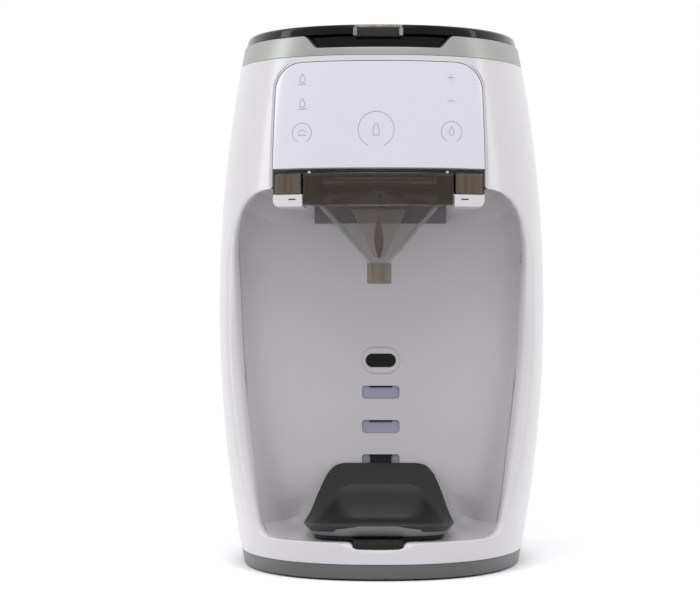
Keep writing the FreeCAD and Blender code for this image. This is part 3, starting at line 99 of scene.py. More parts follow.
def shown(tree):
    """1 on rays from the camera, a mirror or a glass, so that all three meet the same background."""
    path = add(tree, "ShaderNodeLightPath")
    direct = add(tree, "ShaderNodeMath", {0: path.outputs["Is Camera Ray"], 1: path.outputs["Is Glossy Ray"]},
                 operation="ADD")
    return add(tree, "ShaderNodeMath", {0: direct.outputs[0], 1: path.outputs["Is Transmission Ray"]},
               operation="ADD", use_clamp=True).outputs[0]


sky_plain = add(sky.node_tree, "ShaderNodeBackground", {"Color": linear("#E4E3E6"), "Strength": 0.86})
sky_seen = add(sky.node_tree, "ShaderNodeBackground", {"Color": (1, 1, 1, 1), "Strength": 1.0})
sky_mix = add(sky.node_tree, "ShaderNodeMixShader",
              {0: shown(sky.node_tree), 1: sky_plain.outputs[0], 2: sky_seen.outputs[0]})
add(sky.node_tree, "ShaderNodeOutputWorld", {"Surface": sky_mix.outputs[0]})

floor_mesh = bpy.data.meshes.new("floor")
floor_mesh.from_pydata([(-1.5, -1.5, 0), (1.5, -1.5, 0), (1.5, 1.5, 0), (-1.5, 1.5, 0)], [], [(0, 1, 2, 3)])
floor = bpy.data.objects.new("floor", floor_mesh)
bpy.context.scene.collection.objects.link(floor)
paper = bpy.data.materials.new("white_paper")
paper.use_nodes = True
paper_tree = paper.node_tree
paper_tree.nodes.clear()
tone = add(paper_tree, "ShaderNodeMapRange", {0: shown(paper_tree), 3: 0.86, 4: 1.30})
paper_face = add(paper_tree, "ShaderNodeBsdfDiffuse", {"Color": tone.outputs[0]})
paper_gone = add(paper_tree, "ShaderNodeBsdfTransparent")
spot = add(paper_tree, "ShaderNodeTexCoord").outputs["Object"]
away = add(paper_tree, "ShaderNodeVectorMath", {0: spot}, operation="LENGTH")
fade = add(paper_tree, "ShaderNodeMapRange", {0: away.outputs["Value"], 1: 0.18, 2: 0.50, 3: 0.0, 4: 1.0},
           interpolation_type="SMOOTHSTEP")
paper_mix = add(paper_tree, "ShaderNodeMixShader",
                {0: fade.outputs[0], 1: paper_face.outputs[0], 2: paper_gone.outputs[0]})
add(paper_tree, "ShaderNodeOutputMaterial", {"Surface": paper_mix.outputs[0]})
floor_mesh.materials.append(paper)


# Base band: a thin hoop of ABS round the machine's foot, sprayed warm silver grey.
# It follows the barrel of the body, and its two edges are broken so that they catch the light.
def half_axes(z, inset=0.0):
    """Half width and half depth of the body: both shrink with the square of the height off the belly."""
    rise = (z - 176) ** 2
    return 112.5 - rise / 1800 - inset, 162.5 - rise / 3000 - inset


def barrel(turn, z, inset=0.0):
    """Point of the body at an angle from +X: a level section is a superellipse of power 2.3."""
    half_width, half_depth = half_axes(z, inset)
    across, along = np.cos(turn), np.sin(turn)
    x = half_width * np.sign(across) * np.abs(across) ** (2 / 2.3)
    y = half_depth * np.sign(along) * np.abs(along) ** (2 / 2.3)
    return np.stack(np.broadcast_arrays(x, y, z), axis=-1)


def surface(name, *grids, closed=True, flip=False, sharp=35):
    """A smooth mesh through grids of points in millimetres, joined where their edges meet."""
    points, faces, start = [], [], 0
    for grid in grids:
        rows, columns = grid.shape[:2]
        index = start + np.arange(rows * columns).reshape(rows, columns)
        corners = (index[:-1, :-1], index[1:, :-1], index[1:, 1:], index[:-1, 1:])
        faces.append(np.stack(corners, axis=-1).reshape(-1, 4))
        points.append(grid.reshape(-1, 3) / 1000)
        start += rows * columns
    quads = np.concatenate(faces)
    mesh = bpy.data.meshes.new(name)
    mesh.from_pydata(np.concatenate(points), [], quads[:, ::-1] if flip else quads)
    joined = bmesh.new()
    joined.from_mesh(mesh)
    bmesh.ops.remove_doubles(joined, verts=joined.verts, dist=3e-6)
    bmesh.ops.dissolve_degenerate(joined, edges=joined.edges, dist=1e-7)
    if closed:
        bmesh.ops.recalc_face_normals(joined, faces=joined.faces)
    joined.to_mesh(mesh)
    joined.free()
    mesh.shade_smooth()
    mesh.set_sharp_from_angle(angle=math.radians(sharp))
    piece = bpy.data.objects.new(name, mesh)
    bpy.context.scene.collection.objects.link(piece)
    return piece


def dress(piece, finish, slot, body, *nodes):
    """Give a piece its material, let it ride on its body, and let it stand for the CAD nodes."""
    piece.data.materials.clear()
    piece.data.materials.append(finish)
    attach(piece, body)
    if nodes:
        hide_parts(*nodes)
    return piece


def hoop_section(low, high, outer, inner, edge):
    """Heights and insets round a hoop's section: foot, quarter-round, side, quarter-round, head, inside."""
    turn = np.radians(np.arange(0, 91, 15))
    drop, draw = edge * (1 - np.sin(turn)), edge * (1 - np.cos(turn))
    z = np.concatenate([[low], (low + drop)[::-1], [(low + high) / 2], high - drop, [high, low]])
    inset = np.concatenate([[inner], (outer + draw)[::-1], [outer], outer + draw, [inner, inner]])
    return z, inset


def sprayed_metallic(name, colour, flake, roughness):
    """Silver lacquer on ABS: fine bright flakes under a thin clear coat, with a faint spray mottle."""
    finish = bpy.data.materials.new(name)
    finish.use_nodes = True
    tree = finish.node_tree
    shader = tree.nodes["Principled BSDF"]
    place = add(tree, "ShaderNodeTexCoord").outputs["Object"]
    flakes = add(tree, "ShaderNodeTexVoronoi", {"Vector": place, "Scale": 1 / flake})
    mottle = add(tree, "ShaderNodeTexNoise", {"Vector": place, "Scale": 1 / 0.014, "Detail": 3.0})
    spark = add(tree, "ShaderNodeMapRange", {0: flakes.outputs["Distance"], 3: 0.90, 4: 1.08})
    cloud = add(tree, "ShaderNodeMapRange", {0: mottle.outputs[0], 3: 0.97, 4: 1.03})
    shade = add(tree, "ShaderNodeMath", {0: spark.outputs[0], 1: cloud.outputs[0]}, operation="MULTIPLY")
    tint = add(tree, "ShaderNodeVectorMath", {0: linear(colour)[:3], "Scale": shade.outputs[0]},
               operation="SCALE")
    tree.links.new(tint.outputs[0], shader.inputs["Base Color"])
    rough = add(tree, "ShaderNodeMapRange", {0: mottle.outputs[0], 3: roughness - 0.04, 4: roughness + 0.04})
    tree.links.new(rough.outputs[0], shader.inputs["Roughness"])
    grain = add(tree, "ShaderNodeBump", {"Height": flakes.outputs["Distance"], "Strength": 0.12,
                                         "Distance": 0.00004})
    tree.links.new(grain.outputs[0], shader.inputs["Normal"])
    shader.inputs["Metallic"].default_value = 0.72
    shader.inputs["Coat Weight"].default_value = 0.15
    shader.inputs["Coat Roughness"].default_value = 0.3
    return finish


round_turn = np.linspace(0, 2 * math.pi, 361)
band_z, band_inset = hoop_section(1.2, 10.6, 0.3, 3.2, 0.5)
base_band = surface("base_band_hoop", barrel(round_turn[:, None], band_z[None, :], band_inset[None, :]))
band_paint = sprayed_metallic("warm_grey_metallic_lacquer", "#626362", 0.0005, 0.42)
dress(base_band, band_paint, "base_silver_paint", "housing", "base_band")


# Floor plate, screws and feet: a black polypropylene plate inside the band, eight zinc-plated
# self-tapping screws, and four turned rubber feet that lift the band just off the table.
def moulded(name, colour, roughness, grain, depth, drift=0.02, coat=0.0, gleam=0.5):
    """Moulded plastic: the tool's texture, a noise of the grain's size in metres, bumps the surface and
    breaks up the gloss, and the colour drifts slightly along the flow of the melt. Fine texture hides
    part of the mirror image, which a lower gleam gives."""
    finish = bpy.data.materials.new(name)
    finish.use_nodes = True
    tree = finish.node_tree
    shader = tree.nodes["Principled BSDF"]
    place = add(tree, "ShaderNodeTexCoord").outputs["Object"]
    flow = add(tree, "ShaderNodeTexNoise", {"Vector": place, "Scale": 1 / 0.06, "Detail": 3.0})
    texture = add(tree, "ShaderNodeTexNoise", {"Vector": place, "Scale": 1 / grain, "Detail": 2.0})
    shade = add(tree, "ShaderNodeMapRange", {0: flow.outputs[0], 3: 1 - drift, 4: 1 + drift})
    tint = add(tree, "ShaderNodeVectorMath", {0: linear(colour)[:3], "Scale": shade.outputs[0]},
               operation="SCALE")
    tree.links.new(tint.outputs[0], shader.inputs["Base Color"])
    rough = add(tree, "ShaderNodeMapRange", {0: texture.outputs[0], 3: roughness * 0.85, 4: roughness * 1.15})
    tree.links.new(rough.outputs[0], shader.inputs["Roughness"])
    bump = add(tree, "ShaderNodeBump", {"Height": texture.outputs[0], "Strength": 0.35, "Distance": depth})
    tree.links.new(bump.outputs[0], shader.inputs["Normal"])
    shader.inputs["IOR"].default_value = 1.53
    shader.inputs["Specular IOR Level"].default_value = gleam
    shader.inputs["Coat Weight"].default_value = coat
    shader.inputs["Coat Roughness"].default_value = 0.05
    return finish


def smoothed(node, finish, slot, body, sharp=32, inset=None):
    """A merged copy of a CAD piece, smooth except at its edges. Where it follows the body, or lies a
    stated inset inside it, each face corner takes the body's own slope as its normal."""
    mesh = cad[node].data.copy()
    joined = bmesh.new()
    joined.from_mesh(mesh)
    bmesh.ops.remove_doubles(joined, verts=joined.verts, dist=4e-6)
    joined.to_mesh(mesh)
    joined.free()
    mesh.shade_smooth()
    mesh.set_sharp_from_angle(angle=math.radians(sharp))
    if inset is not None:
        corner = np.zeros(len(mesh.loops), int)
        mesh.loops.foreach_get("vertex_index", corner)
        spot = np.zeros(len(mesh.vertices) * 3)
        mesh.vertices.foreach_get("co", spot)
        spot = spot.reshape(-1, 3)[corner] * 1000
        half_width, half_depth = half_axes(spot[:, 2], inset)
        fall = (spot[:, 2] - 176)
        way_x = np.sign(spot[:, 0]) * np.abs(spot[:, 0] / half_width) ** 1.3 / half_width
        way_y = np.sign(spot[:, 1]) * np.abs(spot[:, 1] / half_depth) ** 1.3 / half_depth
        way_z = (np.abs(spot[:, 0] / half_width) ** 2.3 * fall / 900 / half_width
                 + np.abs(spot[:, 1] / half_depth) ** 2.3 * fall / 1500 / half_depth)
        way = np.stack([way_x, way_y, way_z], axis=-1)
        way /= np.maximum(np.linalg.norm(way, axis=1, keepdims=True), 1e-9)
        size = np.array([face.loop_total for face in mesh.polygons])
        flat = np.zeros(len(mesh.polygons) * 3)
        mesh.polygons.foreach_get("normal", flat)
        flat = np.repeat(flat.reshape(-1, 3), size, axis=0)
        given = np.zeros(len(mesh.loops) * 3)
        mesh.corner_normals.foreach_get("vector", given)
        given = given.reshape(-1, 3)
        along = (flat * way).sum(axis=1)
        level = np.abs(np.abs(spot[:, 0] / half_width) ** 2.3 + np.abs(spot[:, 1] / half_depth) ** 2.3 - 1)
        mine = (along > 0.985) & (level < 0.01)
        given[mine] = way[mine]
        mesh.normals_split_custom_set(given.tolist())
    piece = bpy.data.objects.new(node + "_piece", mesh)
    bpy.context.scene.collection.objects.link(piece)
    return dress(piece, finish, slot, body, node)


black_pp = moulded("textured_black_polypropylene", "#161617", 0.55, 0.0012, 0.00006, gleam=0.2)
smoothed("base_plate", black_pp, "black_matt_plastic", "housing")


def plated_steel(name, colour, roughness):
    """Zinc-plated steel: clear bluish spangle a few millimetres wide over fine rolling lines."""
    finish = bpy.data.materials.new(name)
    finish.use_nodes = True
    tree = finish.node_tree
    shader = tree.nodes["Principled BSDF"]
    place = add(tree, "ShaderNodeTexCoord").outputs["Object"]
    spangle = add(tree, "ShaderNodeTexVoronoi", {"Vector": place, "Scale": 1 / 0.005})
    rolled = add(tree, "ShaderNodeMapping", {"Vector": place, "Scale": (60, 60, 2500)})
    lines = add(tree, "ShaderNodeTexNoise", {"Vector": rolled.outputs[0], "Scale": 1.0, "Detail": 4.0})
    shade = add(tree, "ShaderNodeMapRange", {0: spangle.outputs["Color"], 3: 0.86, 4: 1.06})
    tint = add(tree, "ShaderNodeVectorMath", {0: linear(colour)[:3], "Scale": shade.outputs[0]},
               operation="SCALE")
    tree.links.new(tint.outputs[0], shader.inputs["Base Color"])
    rough = add(tree, "ShaderNodeMapRange", {0: lines.outputs[0], 3: roughness - 0.08, 4: roughness + 0.1})
    tree.links.new(rough.outputs[0], shader.inputs["Roughness"])
    bump = add(tree, "ShaderNodeBump", {"Height": lines.outputs[0], "Strength": 0.2, "Distance": 0.00002})
    tree.links.new(bump.outputs[0], shader.inputs["Normal"])
    shader.inputs["Metallic"].default_value = 1.0
    return finish


zinc = plated_steel("zinc_plated_steel", "#B9BEC4", 0.34)
smoothed("base_screws", zinc, "zinc_plated_steel", "housing")
epdm = moulded("black_epdm_rubber", "#171717", 0.75, 0.0007, 0.00005, gleam=0.25)
smoothed("rubber_feet", epdm, "black_rubber", "housing")

# Front shell: one glossy white ABS moulding, with a large opening for niche, drawer and touch panel.
# Its edge rolls softly into the niche, and a finger dip surrounds the notch in the front lip.
gloss_white = moulded("polished_white_abs", "#E4E2E6", 0.20, 0.0022, 0.000006, drift=0.008, coat=0.1, gleam=0.4)


def front_of(x, z, inset=0.0):
    """y of the body's front at a place, from the superellipse."""
    half_width, half_depth = half_axes(z, inset)
    share = np.clip(np.abs(x) / half_width, 0, 1)
    return -half_depth * (1 - share ** 2.3) ** (1 / 2.3)


def spread(points, step, soften):
    """A line of points at even steps along straight runs, its corners softened by a running mean."""
    points = np.array(points, float)
    run = np.concatenate([[0], np.cumsum(np.linalg.norm(np.diff(points, axis=0), axis=1))])
    count = int(round(run[-1] / step)) + 1
    even = np.linspace(0, run[-1], count)
    line = np.stack([np.interp(even, run, points[:, axis]) for axis in range(points.shape[1])], axis=-1)
    reach = int(round(soften / step))
    if reach:
        ahead = 2 * line[0] - line[reach:0:-1]
        behind = 2 * line[-1] - line[-2:-reach - 2:-1]
        kernel = np.ones(2 * reach + 1) / (2 * reach + 1)
        line = np.stack([np.convolve(np.concatenate([ahead, line, behind])[:, axis], kernel, "valid")
                         for axis in range(points.shape[1])], axis=-1)
    return line, even


side_z = np.linspace(40, 206, 24)
side_x = 98.5 - 18.5 * (np.clip(150 - side_z, 0, None) / 120) ** 1.6
corner_turn = np.radians(np.linspace(5, 85, 9))
opening = [(0, 20.6), (14.2, 20.6), (15.4, 21.2), (17.0, 23.8), (18.4, 24.8), (24, 25.0), (69, 25.0),
           (74.5, 25.8), (78.4, 28.6), (80.6, 33.0)]
opening += list(zip(side_x, side_z))
opening += [(98.1, 215), (96.6, 225), (94.2, 233.5), (91.0, 241), (86.4, 247.2), (80.5, 251.4),
            (74.5, 253.4), (69.7, 253.9), (69.7, 266.0), (69.2, 290), (68.1, 317.5)]
opening += [(50.1 + 18 * math.cos(turn), 318.1 + 18 * math.sin(turn)) for turn in corner_turn]
opening += [(48, 336.1), (0, 336.1)]
opening_line, opening_run = spread(opening, 0.8, 1.6)
opening_line[0, 0] = opening_line[-1, 0] = 0.0


def mark(x, z):
    """Number of the opening's point that is nearest to a place."""
    return int(np.argmin((opening_line[:, 0] - x) ** 2 + (opening_line[:, 1] - z) ** 2))


count = len(opening_line)
stops = [0, mark(78.4, 28.6), mark(98.5, 175), mark(86, 247), mark(69.7, 262), mark(63, 331), count - 1]
rim_turn = np.interp(np.arange(count), stops, np.radians([0, 86.1, 86.1, 86.1, 86.1, 86.1, 0]))
rim_z = np.interp(np.arange(count), stops, [10.8, 10.8, 160, 262, 286, 339.6, 339.6])
kernel = np.ones(15) / 15
rim_turn[8:-8] = np.convolve(rim_turn, kernel, "same")[8:-8]
rim_z[8:-8] = np.convolve(rim_z, kernel, "same")[8:-8]
edge_turn = np.arcsin(np.clip(opening_line[:, 0] / half_axes(opening_line[:, 1])[0], 0, 1) ** 1.15)


def finger_dip(place):
    """Push the front back round the notch: the depth grows above an arch that spans the notch."""
    arch = 18.0 + 7.0 * (np.abs(place[..., 0]) / 28) ** 2.6
    over = np.clip(place[..., 2] - arch, 0, None) * (place[..., 2] < 34)
    place[..., 1] += 0.80 * over ** 2 / (over + 1.2)
    return place


def front_point(turn, z):
    """Point of the body at an angle from the front's middle, with the finger dip."""
    return finger_dip(barrel(turn - math.pi / 2, z))


setback = np.interp(np.arange(count), [0, mark(17, 24), mark(24, 25), mark(69, 25), mark(80.6, 33),
                                       mark(92, 80), mark(98.5, 200), mark(88, 246), mark(76, 253.2),
                                       mark(69.7, 256), count - 1],
                    [0.7, 0.7, 3.2, 4.2, 8.0, 14.0, 14.0, 6.0, 2.2, 0.7, 0.5])
distance = np.linalg.norm(np.stack([rim_turn - edge_turn, (rim_z - opening_line[:, 1]) / 110], axis=-1), axis=1)
first = np.clip(setback / 110 / distance, 0.002, 0.9)
share = first[:, None] + (1 - first[:, None]) * (np.linspace(0, 1, 27) ** 1.25)[None, :]
turn_grid = edge_turn[:, None] + (rim_turn - edge_turn)[:, None] * share
z_grid = opening_line[:, 1][:, None] + (rim_z - opening_line[:, 1])[:, None] * share
skin = front_point(turn_grid, z_grid)
edge_point = front_point(edge_turn, opening_line[:, 1])
niche_stops = [0, mark(69, 25), mark(80.6, 33), mark(84, 46), mark(98.5, 206), mark(91, 241),
               mark(80.5, 251.4), mark(69.7, 253.9)]
back_x = np.interp(np.arange(count), niche_stops, [0, 52, 62.5, 66, 87.9, 86.5, 80, 69.6])
back_z = np.interp(np.arange(count), niche_stops, [24.8, 24.8, 31, 45, 205, 240, 254.5, 254.5])
back_corner = np.stack([back_x, np.full(count, -52.0), back_z], axis=-1)
inward = back_corner - edge_point
inward /= np.linalg.norm(inward, axis=1, keepdims=True)
last_niche = niche_stops[-1]
inward[last_niche:] = (0, 1, 0)
roll_end = edge_point + inward * setback[:, None]
step = np.linspace(0, 1, 9)[1:][None, :, None]
roll = ((1 - step) ** 2 * skin[:, :1] + 2 * step * (1 - step) * edge_point[:, None]
        + step ** 2 * roll_end[:, None])
tuck = (roll_end + inward * 2.5)[:, None]
half_shell = np.concatenate([skin[:, ::-1], roll, tuck], axis=1)
mirror = np.array([-1.0, 1.0, 1.0])
front_shell = surface("front_shell_skin", half_shell, (half_shell * mirror)[::-1], closed=False)
wall = front_shell.modifiers.new("wall", "SOLIDIFY")
wall.thickness, wall.offset = 0.0016, -1.0
dress(front_shell, gloss_white, "white_gloss_plastic", "housing", "front_shell")

# Niche liner: the white bay behind the opening, one moulding with a wide cove into its ceiling and
# back corners and a tight one along its floor. Its back wall has holes for three sockets.
gloss_liner = moulded("moulded_white_abs", "#D6D3D6", 0.30, 0.0009, 0.000004, drift=0.01, gleam=0.4)
strip_half = 13.1
wall_x = np.interp(np.arange(count), niche_stops, [0, strip_half, strip_half, strip_half, strip_half,
                                                   strip_half, strip_half, strip_half])
wall_z = np.interp(np.arange(count), niche_stops, [56, 56, 56, 60, 196, 205, 214, 214])
wall_end = np.stack([wall_x, np.full(count, -52.0), wall_z], axis=-1)[:last_niche + 1]
cove = np.interp(np.arange(count), niche_stops, [7, 7, 10, 20, 22, 26, 28, 28])[:last_niche + 1, None]
corner_at = back_corner[:last_niche + 1]
way_in = inward[:last_niche + 1]
way_on = wall_end - corner_at
way_on /= np.linalg.norm(way_on, axis=1, keepdims=True)
start_at = roll_end[:last_niche + 1]
cove_start, cove_end = corner_at - way_in * cove, corner_at + way_on * cove
straight = start_at[:, None] + (cove_start - start_at)[:, None] * np.linspace(0, 1, 13)[None, :, None]
bend_step = np.linspace(0, 1, 17)[1:][None, :, None]
bend = ((1 - bend_step) ** 2 * cove_start[:, None] + 2 * bend_step * (1 - bend_step) * corner_at[:, None]
        + bend_step ** 2 * cove_end[:, None])
flat = cove_end[:, None] + (wall_end - cove_end)[:, None] * np.linspace(0, 1, 9)[1:][None, :, None]
half_niche = np.concatenate([straight, bend, flat], axis=1)
side_curve = half_niche[-1, 17:]
bend_part = np.linspace(0, 1, 17)[5:]
middle_bend = np.stack([0 * bend_part, -80 + 28 * (2 * bend_part - bend_part ** 2), 254.5 - 28 * bend_part ** 2],
                       axis=-1)
middle_flat = middle_bend[-1] + (np.array([0.0, -52.0, 214.0]) - middle_bend[-1]) * np.linspace(0, 1, 9)[1:, None]
middle_curve = np.concatenate([middle_bend, middle_flat])
half_ceiling = side_curve + (middle_curve - side_curve) * np.linspace(0, 1, 24)[:, None, None]
strips = []
for low, high in ((56, 66.3), (75.9, 89.7), (99.3, 113.1), (122.7, 214)):
    strip_x, strip_z = np.meshgrid(np.linspace(-strip_half, strip_half, 9), [low, high], indexing="ij")
    strips.append(np.stack([strip_x, np.full_like(strip_x, -52.0), strip_z], axis=-1))
niche_liner = surface("niche_bay", half_niche, (half_niche * mirror)[::-1], half_ceiling,
                      (half_ceiling * mirror)[::-1], *[strip[:, ::-1] for strip in strips],
                      closed=False, flip=True)
dress(niche_liner, gloss_liner, "white_satin_plastic", "housing", "niche_liner")

# Rear shell: the matching white back moulding. The tank's bay, the grille above it and the mains
# inlet are let into it, and a hairline seam runs down each side where it meets the front.
smoothed("rear_shell", gloss_white, "white_gloss_plastic", "housing", inset=0.0)
smoothed("rear_vent", black_pp, "black_matt_plastic", "housing")
smoothed("inlet_socket", black_pp, "black_matt_plastic", "housing")
brass = plated_steel("bright_brass", "#D8B768", 0.26)
smoothed("inlet_pins", brass, "brass_pins", "housing")


# Top ring: a silver-lacquered ABS hoop on the shells. In front its upper edge dips in a soft
# S-curve, so that a finger can reach under the lid's tab.
def ring_edge(x, y):
    """Height of the ring's upper edge: 353.2, less a dip of 8.2 in front with smooth shoulders."""
    share = np.clip((50.4 - np.abs(x)) / 10.8, 0, 1)
    smooth = share * share * (3 - 2 * share)
    return 353.2 - 8.2 * smooth * (y < 0)


turn = np.radians(np.arange(0, 91, 15))
fine_turn = np.unique(np.concatenate([np.linspace(0, 2 * math.pi, 361),
                                      np.radians(270) + np.linspace(-0.5, 0.5, 161)]))
seat = barrel(fine_turn, np.full_like(fine_turn, 345.0))
crest = ring_edge(seat[:, 0], seat[:, 1])[:, None]
bevel = 0.7
foot_z = np.concatenate([[339.8], 339.8 + 0.4 * (1 - np.sin(turn))[::-1]])
foot_in = np.concatenate([[5.0], 0.3 + 0.4 * (1 - np.cos(turn))[::-1]])
head_drop = np.concatenate([bevel * (1 - np.sin(turn)), [0.0]])
head_in = np.concatenate([0.3 + bevel * (1 - np.cos(turn)), [5.0]])
count_turns = len(fine_turn)
ring_heights = np.concatenate([np.tile(foot_z, (count_turns, 1)), (crest + 339.8) / 2, crest - head_drop,
                               np.full((count_turns, 1), 339.8)], axis=1)
ring_insets = np.concatenate([foot_in, [0.3], head_in, [5.0]])
top_ring = surface("top_ring_hoop", barrel(fine_turn[:, None], ring_heights, ring_insets[None, :]))
ring_paint = sprayed_metallic("silver_metallic_lacquer", "#A2A4A2", 0.00045, 0.38)
dress(top_ring, ring_paint, "silver_painted_plastic", "housing", "top_ring")
smoothed("top_deck", gloss_liner, "white_satin_plastic", "housing", sharp=12)


# Top lid: glossy black ABS, slightly domed edge, hinged at the back on a steel pin. A short apron
# fills the ring's dip, and behind the hinge a fixed cap of the same plastic ends the top.
def lid_outline(share, inset, z, back):
    """Edge of the lid at a share of the way round: the body's section, cut straight across at the back."""
    point = barrel(share * 2 * math.pi - math.pi / 2, z, 1.2 + inset)
    point[..., 1] = np.minimum(point[..., 1], back - inset)
    return point


piano_black = moulded("polished_black_abs", "#060608", 0.09, 0.004, 0.000004, drift=0.05, gleam=0.15)
shares = np.linspace(0, 1, 401)[:, None]
lid_turn = np.radians(np.arange(0, 91, 9))
lid_z = np.concatenate([[355.0, 353.6], [356.0], 359.7 - 2.0 * (1 - np.sin(lid_turn)), [359.7]])[None, :]
lid_in = np.concatenate([[2.6, 0.0], [0.0], 2.0 * (1 - np.cos(lid_turn)), [14.0]])[None, :]
lid_skin = lid_outline(shares, lid_in, lid_z, 95.0)
lid_mid = np.array([0.0, -20.0, 359.7])
lid_top = lid_skin[:, -1:] + (lid_mid - lid_skin[:, -1:]) * np.linspace(0, 1, 9)[None, 1:, None]
under_mid = np.array([0.0, -20.0, 357.0])
lid_under = lid_skin[:, :1] + (np.array([0, 0, 2.0]))
lid_under_rows = lid_under + (under_mid - lid_under) * np.array([0.02, 0.3, 0.65, 1.0])[None, :, None]
lid_grid = np.concatenate([lid_under_rows[:, ::-1], lid_skin, lid_top], axis=1)
apron_x = np.linspace(-52, 52, 61)[:, None]
apron_z = np.linspace(344.6, 355.0, 5)[None, :]
apron_x, apron_z = np.broadcast_arrays(apron_x, apron_z)
apron_front = np.stack([apron_x, front_of(apron_x, apron_z, 5.7), apron_z], axis=-1)
apron_back = np.stack([apron_x, front_of(apron_x, apron_z, 7.7), apron_z], axis=-1)
apron_foot = np.stack([apron_front[:, 0], apron_back[:, 0]], axis=1)
apron_ends = [np.stack([apron_front[end], apron_back[end]], axis=1) for end in (0, -1)]
top_lid = surface("top_lid_shell", lid_grid, apron_front, apron_back[:, ::-1], apron_foot, *apron_ends)
knuckle_turn = np.linspace(0, 2 * math.pi, 41)[None, :]
knuckle_x = np.array([-58, -57.6, -57.2, 57.2, 57.6, 58])[:, None]
knuckle_r = np.array([0.0, 3.3, 3.6, 3.6, 3.3, 0.0])[:, None]
knuckle = np.stack(np.broadcast_arrays(knuckle_x, 100 + knuckle_r * np.cos(knuckle_turn),
                                       356.1 + knuckle_r * np.sin(knuckle_turn)), axis=-1)
arm_x, arm_half = np.array([-58.0, 58.0]), 1.0
arm = np.stack([np.stack([np.array([x, y, z]) for y, z in
                          ((94, 357.2), (94, 359.5), (99, 359.5), (99, 357.2), (94, 357.2))])
                for x in arm_x])
lid_knuckle = surface("lid_knuckle", knuckle, arm)
dress(lid_knuckle, piano_black, "black_gloss_plastic", "lid")
dress(top_lid, piano_black, "black_gloss_plastic", "lid", "top_lid")
smoothed("rear_top_cap", piano_black, "black_gloss_plastic", "housing", inset=None)


def smoked(name, colour, painted_rim_colour, alpha, edge_alpha, roughness):
    """Smoked polycarbonate: see-through, tinted, with polished faces and faint flow streaks. Where the
    eye looks along a wall it meets more plastic, so that the edge is denser; there the colour turns to the
    painted rim colour, which where it is lighter is a painted rim highlight."""
    finish = bpy.data.materials.new(name)
    finish.use_nodes = True
    tree = finish.node_tree
    shader = tree.nodes["Principled BSDF"]
    place = add(tree, "ShaderNodeTexCoord").outputs["Object"]
    drawn = add(tree, "ShaderNodeMapping", {"Vector": place, "Scale": (420, 30, 30)})
    streak = add(tree, "ShaderNodeTexNoise", {"Vector": drawn.outputs[0], "Scale": 1.0, "Detail": 2.0})
    shade = add(tree, "ShaderNodeMapRange", {0: streak.outputs[0], 1: 0.3, 2: 0.7, 3: 0.75, 4: 1.25})
    facing = add(tree, "ShaderNodeLayerWeight", {"Blend": 0.5}).outputs["Facing"]
    # Towards a grazing view the colour turns to the rim colour: a painted rim highlight where that colour is lighter.
    rim = add(tree, "ShaderNodeMapRange", {0: facing, 1: 0.55, 2: 0.95}, interpolation_type="SMOOTHSTEP")
    tone = add(tree, "ShaderNodeMix", {0: rim.outputs[0], 6: linear(colour), 7: linear(painted_rim_colour)},
               data_type="RGBA")
    tint = add(tree, "ShaderNodeVectorMath", {0: tone.outputs[2], "Scale": shade.outputs[0]},
               operation="SCALE")
    tree.links.new(tint.outputs[0], shader.inputs["Base Color"])
    body = add(tree, "ShaderNodeMapRange", {0: rim.outputs[0], 3: alpha, 4: edge_alpha})
    tree.links.new(body.outputs[0], shader.inputs["Alpha"])
    rough = add(tree, "ShaderNodeMapRange", {0: streak.outputs[0], 3: roughness * 0.8, 4: roughness * 1.3})
    tree.links.new(rough.outputs[0], shader.inputs["Roughness"])
    shader.inputs["IOR"].default_value = 1.58
    shader.inputs["Specular IOR Level"].default_value = 0.3
    return finish


# Finger tab: a smoked polycarbonate grip set on the lid's front edge. It stands a little proud of
# the lid, with rolled corners, and leaves a finger's room over the apron.
def slab(name, outline, front, depth, edge, rows=10):
    """A plate behind an outline of x and z: the front follows a given surface, its rim is rounded by a
    quarter circle, and its back is the same outline a depth further in."""
    line = np.concatenate([outline, outline[:1]])
    middle = outline.mean(axis=0)
    ahead = np.roll(outline, -1, axis=0) - np.roll(outline, 1, axis=0)
    out = np.stack([ahead[:, 1], -ahead[:, 0]], axis=-1)
    out /= np.linalg.norm(out, axis=1, keepdims=True)
    if ((outline - middle) * out).sum() < 0:
        out = -out
    out = np.concatenate([out, out[:1]])
    round_turns = np.radians(np.arange(0, 91, 18))
    grids = []
    for turn in round_turns:
        spot = line - out * edge * (1 - math.sin(turn))
        grids.append(np.stack([spot[:, 0], front(spot[:, 0], spot[:, 1]) + edge * (1 - math.cos(turn)),
                               spot[:, 1]], axis=-1))
    fill = []
    for part in np.linspace(0, 1, rows)[:-1]:
        spot = middle + (line - out * edge - middle) * part
        fill.append(np.stack([spot[:, 0], front(spot[:, 0], spot[:, 1]), spot[:, 1]], axis=-1))
    rim = grids[-1].copy()
    rim[:, 1] += depth - edge
    back = []
    for part in np.linspace(1, 0, 4)[1:]:
        back.append(np.stack([middle[0] + (line[:, 0] - middle[0]) * part,
                              rim[:, 1] * part + (rim[:, 1].mean()) * (1 - part),
                              middle[1] + (line[:, 1] - middle[1]) * part], axis=-1))
    return surface(name, np.stack(fill + grids + [rim] + back, axis=1))


def round_box(x0, x1, z0, z1, radius, step=0.6):
    """Outline of a rectangle with rounded corners, as x and z, anticlockwise."""
    turns = np.radians(np.arange(0, 91, 15))
    corners = ((x1, z1, 0), (x0, z1, 90), (x0, z0, 180), (x1, z0, 270))
    points = []
    for x, z, start in corners:
        mid_x = x - radius if x == x1 else x + radius
        mid_z = z - radius if z == z1 else z + radius
        for turn in turns + math.radians(start):
            points.append((mid_x + radius * math.cos(turn), mid_z + radius * math.sin(turn)))
    line, _ = spread(points + points[:1], step, 0)
    return line[:-1]


